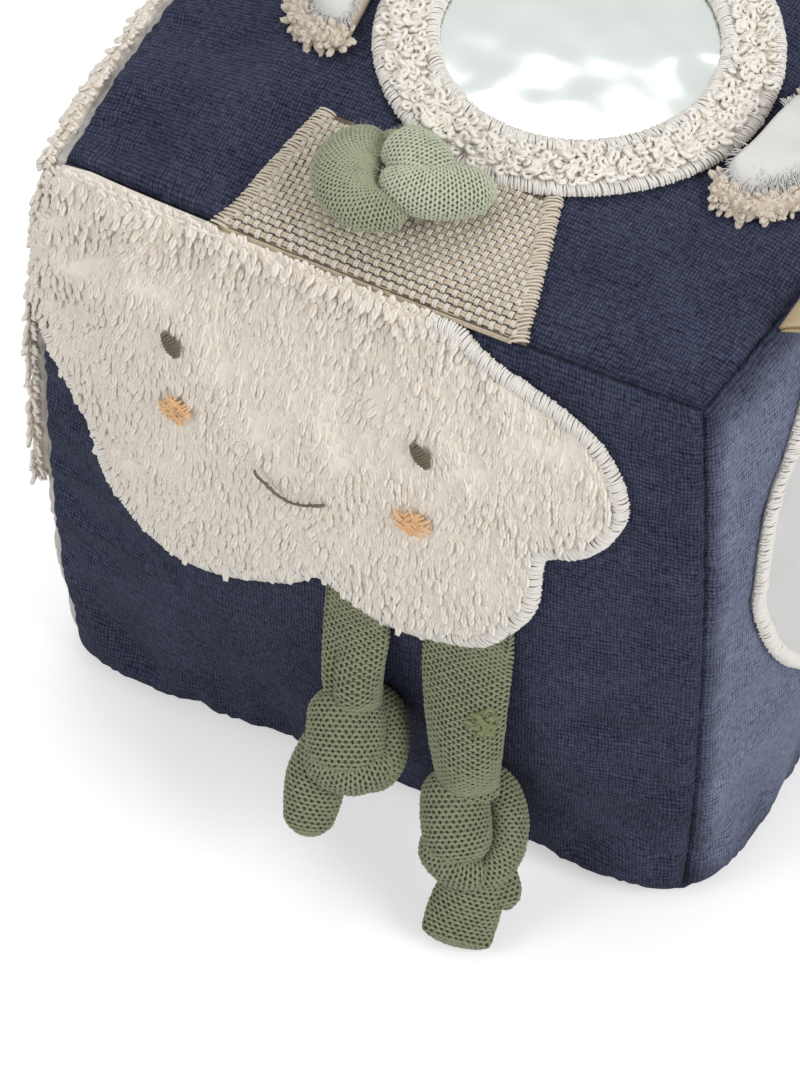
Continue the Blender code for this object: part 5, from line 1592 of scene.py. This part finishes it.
plush_strand = strand_recipe()
# The bed under the long pile, between its tip colour and its painted-shade root colour.
plush_ground = ground_finish("plush_ground", PLUSH_TIP, PLUSH_ROOT_SHADE)
plush_fibre = yarn_finish("long_pile", PLUSH_TIP, PLUSH_TIP, PLUSH_ROOT_SHADE, PLUSH_LENGTH, 0.1, 0.5)
ear_yarn = yarn_finish("ear_terry", EAR_TIP, EAR_MID, EAR_ROOT_SHADE, 2.2 * MM)
# The ear's ground between the loops, painted darker as shade.
ear_ground = ground_finish("ear_ground", EAR_MID, EAR_ROOT_SHADE)
for side, way in (("left", -1.0), ("right", 1.0)):
    head = np.array(HEAD_PLACE_SHARES) * SIDE_SCALE
    out_way = np.array([way * math.cos(EAR_TURN), -math.sin(EAR_TURN)])
    up_way = np.array([-out_way[1], out_way[0]]) * way
    ways_over = np.array([out_way, up_way])
    middle = head + out_way * (HEAD_RADIUS + EAR_STEP_OUT)
    rim = np.arange(EAR_POINTS) / EAR_POINTS * 2.0 * math.pi
    outward = np.maximum(np.cos(rim) * EAR_HALF_WIDTH, EAR_SEAM)
    line = middle + outward[:, None] * out_way + (np.sin(rim) * EAR_HALF_LENGTH)[:, None] * up_way
    ear_middle = (line.max(axis=0) + line.min(axis=0)) / 2.0
    ground = sewn_pad(side + "_ear_ground", "top", line / SIDE_SCALE, ear_middle / SIDE_SCALE,
                      dome(EAR_TOP, 0.12, EAR_BOTTOM), ear_ground)
    put(ground, side + "_ear", "terry", side + "_ear")
    spots, ways = scattered(0.0, 1.0, EAR_LOOPS, 41)
    inner = (EAR_HALF_WIDTH - EAR_INSET) / EAR_HALF_WIDTH
    deep = (EAR_HALF_LENGTH - EAR_INSET) / EAR_HALF_LENGTH
    keep = ((spots / [inner, deep]) ** 2).sum(axis=1) > 1.0
    keep &= spots[:, 0] * EAR_HALF_WIDTH > EAR_SEAM
    rings, ways = spots[keep], ways[keep]
    spread = middle + rings[:, :1] * EAR_HALF_WIDTH * out_way + rings[:, 1:] * EAR_HALF_LENGTH * up_way
    edge = np.clip(np.linalg.norm(rings, axis=1), 0.0, 1.0)
    lifts = EAR_TOP - 0.9 * MM - 1.8 * MM * np.maximum(0.0, edge - 0.85) / 0.15
    places, out, along = frames_on("top", spread / SIDE_SCALE, ways, lifts)
    fanned = (rings * [EAR_HALF_WIDTH, EAR_HALF_LENGTH]) @ ways_over
    out = unit(out + np.column_stack([fanned, np.zeros(len(fanned))]) * (edge[:, None] ** 6) * 60.0)
    curls = terry_loop.made_at(side + "_ear_loops", places, out, along, ear_yarn, ragged_angle=0.45,
                               size_spread=0.2, loop_length=CURL_LENGTH, lean=0.45, yarn_radius=CURL_YARN,
                               seed=42)
    put(curls, side + "_ear", "terry")
    nap_sizes = [EAR_HALF_WIDTH - EAR_INSET, EAR_HALF_LENGTH - EAR_INSET]
    nap = circle_line((0.0, 0.0), 1.0, EAR_POINTS, (1.0, 1.0)) * nap_sizes
    nap[:, 0] = np.maximum(nap[:, 0], EAR_SEAM + 0.5 * MM)
    nap = (middle + nap[:, :1] * out_way + nap[:, 1:] * up_way) / SIDE_SCALE
    rise = dome(EAR_TOP + PLUSH_BED, 0.3, PLUSH_SEAT)
    under = sewn_pad(side + "_ear_nap", "top", nap, nap.mean(axis=0), rise, plush_ground, rough=0.8 * MM)
    put(under, side + "_ear", "long_pile")
    spots, ways = scattered(0.0, 1.0, PLUSH_STRANDS, 51)
    spread = middle + (spots * nap_sizes) @ ways_over
    keep = (spread - middle) @ out_way > EAR_SEAM + 0.8 * MM
    keep &= np.linalg.norm(spots, axis=1) > PLUSH_FRINGE_SHARE
    bed = PLUSH_BED * (1.0 - np.linalg.norm(spots[keep], axis=1) ** 3)
    fanned = spots[keep] @ ways_over
    combed = unit(ways[keep] * 0.45 + fanned)
    places, out, along = frames_on("top", spread[keep] / SIDE_SCALE, combed, EAR_TOP - 0.3 * MM + bed)
    out = unit(out + np.column_stack([fanned, np.zeros(len(fanned))]) * 0.45)
    fur = plush_strand.made_at(side + "_ear_fur", places, out, along, plush_fibre, ragged_angle=0.14,
                               size_spread=0.25, seed=52)
    put(fur, side + "_ear", "long_pile", side + "_ear_plush")
    seat = middle[:, None] / SIDE_SCALE
    foot, way_out = on_block("top", *seat, PLUSH_SEAT)[0], block_normals("top", *seat)[0]
    for piece in (under, fur):
        side + "_ear_lift"
        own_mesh(piece)

# The bow.
# Two stuffed lobes of green knit, lighter than the legs, drawn together at a small knot on the body patch.
BOW_ACROSS_SHARE = -0.120
BOW_STEP_OUT = 3.3 * MM
BOW_SEAT = 1.9 * MM
BOW_KNOT_RADIUS = 3.2 * MM
BOW_STITCH = 1.08 * MM
BOW_ROW = 0.84 * MM
BOW_FOLDS = {
    "left": {
        "curl": ([(-0.3, -0.8, 4.2), (-4.2, -4.6, 5.2), (-4.4, -12.6, 5.6), (1.0, -18.4, 5.0),
                  (8.2, -17.4, 4.0), (11.0, -15.0, 3.4)],
                 (4.4, 5.6, 6.6, 5.2, 3.6, 2.4), (3.8, 4.6, 5.0, 4.4, 3.4, 2.0)),
    },
    "right": {
        "top": ([(2.2, -2.6, 7.6), (6.2, -4.4, 9.0), (10.6, -6.0, 8.8), (14.0, -8.0, 7.0)],
                (4.6, 5.6, 5.6, 4.2), (3.8, 4.0, 3.8, 3.0)),
        "roll": ([(3.6, -9.4, 6.0), (9.0, -11.2, 6.6), (14.6, -9.6, 6.4), (19.4, -5.6, 5.6),
                  (23.2, -2.0, 4.4)], (4.2, 5.0, 5.6, 5.4, 3.4), (3.6, 4.6, 5.0, 4.4, 2.8)),
    },
}
# Tip colours of the two lobes of one knit. The right lobe's is a lighter copy of the left's, painted light.
BOW_LIT_AND_SHADED_TIPS = {"left": (0.385, 0.412, 0.272), "right": (0.58, 0.614, 0.458)}
FUZZ_HAIRS = 450
FUZZ_LENGTH = 1.0 * MM
FUZZ_LEAN = 1.0 * MM
FUZZ_RADIUS = 0.05 * MM

bow_back = HEAD_PLACE_SHARES[1] - (HEAD_RADIUS + BOW_STEP_OUT) / SIDE_SCALE
seat = on_block("top", np.array([BOW_ACROSS_SHARE]), np.array([bow_back]), BOW_SEAT)[0]
for side, folds in BOW_FOLDS.items():
    tip = np.array(BOW_LIT_AND_SHADED_TIPS[side])
    # Each lobe's yarn goes darker towards its root, and its ground darker still, as painted shade.
    yarn = yarn_finish("bow_" + side + "_knit", tuple(tip), tuple(tip * 0.86), tuple(tip * 0.52), 0.55 * MM,
                       0.2, 0.35)
    close = ground_finish("bow_" + side + "_ground", tuple(tip * 0.9), tuple(tip * 0.62))
    knit = {"yarn": yarn, "ground": close, "stitch": BOW_STITCH, "row": BOW_ROW}
    for number, (fold, (offsets, wide, deep)) in enumerate(folds.items()):
        path = [seat + np.array(offset) * MM for offset in offsets]
        shape = SoftTube(path, np.array(deep) * MM, np.array(wide) * MM, side=(0.0, 0.0, 1.0),
                         round_start=0.25, round_end=0.2)
        name = "bow_{}_{}".format(side, fold)
        pieces = knitted(name, shape, **knit, seed=61 + number)
        chance = np.random.default_rng(65 + number)
        places, out, along = outs(shape, chance.uniform(0.0, 2.0 * math.pi, FUZZ_HAIRS),
                                  chance.uniform(0.03, 0.97, FUZZ_HAIRS), 0.1 * MM)
        hairs = plush_strand.made_at(name + "_fuzz", places, out, along, yarn, ragged_angle=1.0,
                                     size_spread=0.4, strand_length=FUZZ_LENGTH, strand_lean=FUZZ_LEAN,
                                     strand_radius=FUZZ_RADIUS, seed=66)
        for piece in (*pieces, hairs):
            put(piece, "bow_" + side + "_lobe", "bow_knit", "bow_" + side + "_lobe")
    if side == "left":
        tie = SoftTube([seat + np.array([place, 0.0, 1.0]) * BOW_KNOT_RADIUS for place in (-0.95, 0.0, 0.95)],
                       np.full(3, BOW_KNOT_RADIUS), np.full(3, BOW_KNOT_RADIUS), side=(0.0, 0.0, 1.0),
                       round_start=0.5, round_end=0.5)
        for piece in knitted("bow_tie", tie, **knit, seed=62):
            put(piece, "root", "bow_knit", "bow_knot")

# The left side's patch.
# A large terry shape on the left side, caught in the seams at its top and front, with its own stitched edge.
LEFT_FREE_SHARES = [
    (-0.92, -0.36), (-0.70, -0.40), (-0.45, -0.43), (-0.20, -0.43), (0.05, -0.40), (0.30, -0.32),
    (0.52, -0.16), (0.66, 0.04), (0.72, 0.28), (0.70, 0.52), (0.62, 0.74), (0.50, 0.90), (0.36, 0.97),
]
LEFT_SEWN_SHARES = [
    (0.18, 0.985), (0.0, 0.985), (-0.2, 0.985), (-0.4, 0.985), (-0.6, 0.985), (-0.8, 0.985), (-0.96, 0.97),
    (-0.985, 0.85), (-0.985, 0.67), (-0.985, 0.5), (-0.985, 0.33), (-0.985, 0.16), (-0.985, 0.0),
    (-0.985, -0.17), (-0.985, -0.28),
]
LEFT_MIDDLE_SHARES = (-0.15, 0.30)
LEFT_DRAPE = 1.5
terry_patch("left_patch", "left", LEFT_FREE_SHARES, LEFT_SEWN_SHARES, LEFT_MIDDLE_SHARES,
            lambda shares: shares[:, 1] > -1.0, 71, steps=LOOP_STEPS - 2, draped=LEFT_DRAPE)

# The label.
# A short loop of pale gold satin ribbon, folded over and caught in the seam between the top and the right.
LABEL_BACK_SHARE = -0.52
LABEL_WIDTH = 20.0 * MM
LABEL_LENGTH = 14.0 * MM
LABEL_RISE = math.radians(35.0)
LABEL_DROOP = 4.0 * MM
LABEL_START = 1.2 * MM
LABEL_GAP = 0.75 * MM
RIBBON = 0.35 * MM
GOLD = (0.62, 0.49, 0.27)
GOLD_SHADE = (0.38, 0.28, 0.14)


def ribbon_finish():
    """Satin ribbon: fine warp lines that catch the light along its length."""
    finish = Finish("gold_ribbon")
    cloth = finish.place("UV")
    x, y, _ = finish.parts(cloth)
    fine = (x * 9000.0).sine() * 0.5 + 0.5
    slack = finish.noise(cloth, 180.0, 2.0, 0.5)
    colour = finish.tone((slack * 0.7 + fine * 0.3).clamped(), (0.1, GOLD_SHADE), (0.8, GOLD))
    return finish.shade(colour, fine * 0.2 + slack, 0.25 * MM, 0.6, Roughness=0.38, Sheen_Weight=0.2,
                        Specular_IOR_Level=0.6)


hinge = on_block("right", np.array([LABEL_BACK_SHARE]), np.array([1.0]))[0]
run_way = np.array([math.cos(LABEL_RISE), 0.0, math.sin(LABEL_RISE)])
lift_way = np.array([-math.sin(LABEL_RISE), 0.0, math.cos(LABEL_RISE)])
half = [(share, 1.0) for share in np.linspace(0.0, 0.93, 16)] + [(0.965, 0.9), (0.99, 0.5), (1.0, 0.0)]
loop = half + [(share, -side) for share, side in half[-2::-1]]
loop = [(share, side * (0.55 + 0.45 * math.sin(share * math.pi))) for share, side in loop]
widths = np.linspace(-0.5, 0.5, 15)
ribbon_points, ribbon_uvs = [], []
for share, side in loop:
    base = hinge + run_way * (LABEL_START + LABEL_LENGTH * share) - [0.0, 0.0, LABEL_DROOP * share ** 2]
    for place in widths:
        curl = 0.5 * MM * math.sin(place * 5.0 + share * 2.0) * share
        point = base + lift_way * (side * LABEL_GAP + curl) + [0.0, place * LABEL_WIDTH, 0.0]
        ribbon_points.append(point)
        ribbon_uvs.append((place * LABEL_WIDTH, LABEL_LENGTH * share))
ribbon = mesh_object("label_ribbon", ribbon_points, grid_faces(len(loop), len(widths)), ribbon_finish(),
                     ribbon_uvs)
put(thicken(ribbon, RIBBON, 0.0), "label", "gold_ribbon", "label")

# The filling and the rattle.
# Lumpy fibre fills the cover in two halves, round a plastic shell in which a ball can rattle.
FIBRE = (0.78, 0.77, 0.74)
FIBRE_SHADE = (0.58, 0.56, 0.52)
FIBRE_LUMP = 2.4 * MM
PLASTIC = (0.62, 0.66, 0.70)
PLASTIC_SHADE = (0.52, 0.56, 0.60)
fibre = ground_finish("fibre_filling", FIBRE, FIBRE_SHADE)
rattle = Finish("rattle_plastic")
grain = rattle.noise(rattle.place(), 700.0, 2.0, 0.5)
rattle_plastic = rattle.shade(rattle.tone(grain, (0.2, PLASTIC_SHADE), (0.8, PLASTIC)), grain, 0.03 * MM, 0.4,
                              Roughness=0.35, Specular_IOR_Level=0.5)
for name in ("core_lower", "core_upper"):
    bm = bmesh.new()
    bm.from_mesh(bpy.data.objects[name].data)
    bmesh.ops.remove_doubles(bm, verts=bm.verts, dist=0.01 * MM)
    bmesh.ops.subdivide_edges(bm, edges=bm.edges, cuts=1, use_grid_fill=True)
    bm.normal_update()
    for vert in bm.verts:
        vert.co -= vert.normal * FIBRE_LUMP * (0.4 + 0.6 * abs(noise.noise(vert.co * 90.0)))
    mesh = bpy.data.meshes.new(name + "_fibre")
    bm.to_mesh(mesh)
    bm.free()
    mesh.materials.clear()
    mesh.materials.append(fibre)
    mesh.shade_smooth()
    put(in_scene(name + "_fibre", mesh), "root", "fibre_filling", name)
for name in ("rattle_shell_lower", "rattle_shell_upper", "rattle_ball"):
    mesh = bpy.data.objects[name].data
    mesh.materials.clear()
    mesh.materials.append(rattle_plastic)

# The studio.
# A pale floor under soft lamps, and a camera that looks down on the block's front right corner as the
# photograph does, with the block cut off by the picture's edges.
CAMERA_DISTANCE = 1600.0 * MM
CAMERA_RIGHT = -29.3 * MM
CAMERA_UP = -46.0 * MM
PHOTO_LONG_SIDE = 1070
FOCAL_PIXELS = 7900
SENSOR = 36.0
FLOOR_SIZE = 3.0
FLOOR_COLOUR = (0.80, 0.80, 0.80, 1.0)
WHITE_LIGHT = (1.0, 1.0, 1.0, 1.0)
SKY_STRENGTH = 0.45
LAMPS = {
    "right_lamp": ((1.5, -0.35, 1.0), 1.0, 14.0),
    "top_lamp": ((-0.3, 0.5, 1.9), 1.2, 9.0),
    "front_lamp": ((-1.0, -1.6, 1.2), 1.2, 11.0),
}

right_way, up_way, back_way = Vector(SEEN_RIGHT), Vector(SEEN_UP), Vector(SEEN_BACK)
lens = bpy.data.cameras.new("camera")
lens.sensor_width = SENSOR
lens.lens = FOCAL_PIXELS / PHOTO_LONG_SIDE * SENSOR
lens.clip_start = 0.05
lens.clip_end = 20.0
camera = in_scene("camera", lens)
camera.matrix_world = Matrix.Translation(
    Vector(BLOCK_CENTRE) + back_way * CAMERA_DISTANCE + right_way * CAMERA_RIGHT + up_way * CAMERA_UP
) @ Matrix((right_way, up_way, back_way)).transposed().to_4x4()
bpy.context.scene.camera = camera


def soft_lamp(name, place, size, power):
    """A round lamp that faces the block."""
    lamp = bpy.data.lights.new(name, "AREA")
    lamp.shape = "DISK"
    lamp.size = size
    lamp.energy = power
    made = in_scene(name, lamp)
    made.location = place
    made.rotation_mode = "QUATERNION"
    made.rotation_quaternion = (Vector(BLOCK_CENTRE) - Vector(place)).to_track_quat("-Z", "Y")


for name, lamp in LAMPS.items():
    soft_lamp(name, *lamp)

world = bpy.data.worlds.new("studio")
bpy.context.scene.world = world
world.use_nodes = True
sky = Tree(world.node_tree)
sky.tree.nodes.clear()
ray = sky.node("ShaderNodeLightPath").outputs
plain_ray = sky.node("ShaderNodeMath", {"operation": "MAXIMUM"}, {
    0: ray["Is Camera Ray"],
    1: sky.node("ShaderNodeMath", {"operation": "MAXIMUM"}, {
        0: ray["Is Glossy Ray"], 1: ray["Is Transmission Ray"]}).outputs[0]}).outputs[0]
dim, white = [sky.node("ShaderNodeBackground", inputs={"Color": WHITE_LIGHT, "Strength": level}).outputs[0]
              for level in (SKY_STRENGTH, 1.0)]
sky.node("ShaderNodeOutputWorld", inputs={"Surface": sky.node("ShaderNodeMixShader", inputs={
    0: plain_ray, 1: dim, 2: white}).outputs[0]})

floor_finish = Finish("pale_floor")
floor_ray = floor_finish.node("ShaderNodeLightPath").outputs["Is Camera Ray"]
matt = floor_finish.node("ShaderNodeBsdfDiffuse", inputs={"Color": FLOOR_COLOUR}).outputs[0]
glow = floor_finish.node("ShaderNodeEmission", inputs={
    "Color": WHITE_LIGHT, "Strength": SKY_STRENGTH}).outputs[0]
lit = floor_finish.node("ShaderNodeAddShader", inputs={0: matt, 1: glow}).outputs[0]
floor_finish.node("ShaderNodeOutputMaterial", inputs={"Surface": floor_finish.node(
    "ShaderNodeMixShader", inputs={0: floor_ray, 1: matt, 2: lit}).outputs[0]})
half = FLOOR_SIZE / 2.0
floor = mesh_object("floor", [(-half, -half, 0.0), (half, -half, 0.0), (half, half, 0.0), (-half, half, 0.0)],
                    [(0, 1, 2, 3)], floor_finish.material)

bpy.context.scene.view_settings.view_transform = "Standard"
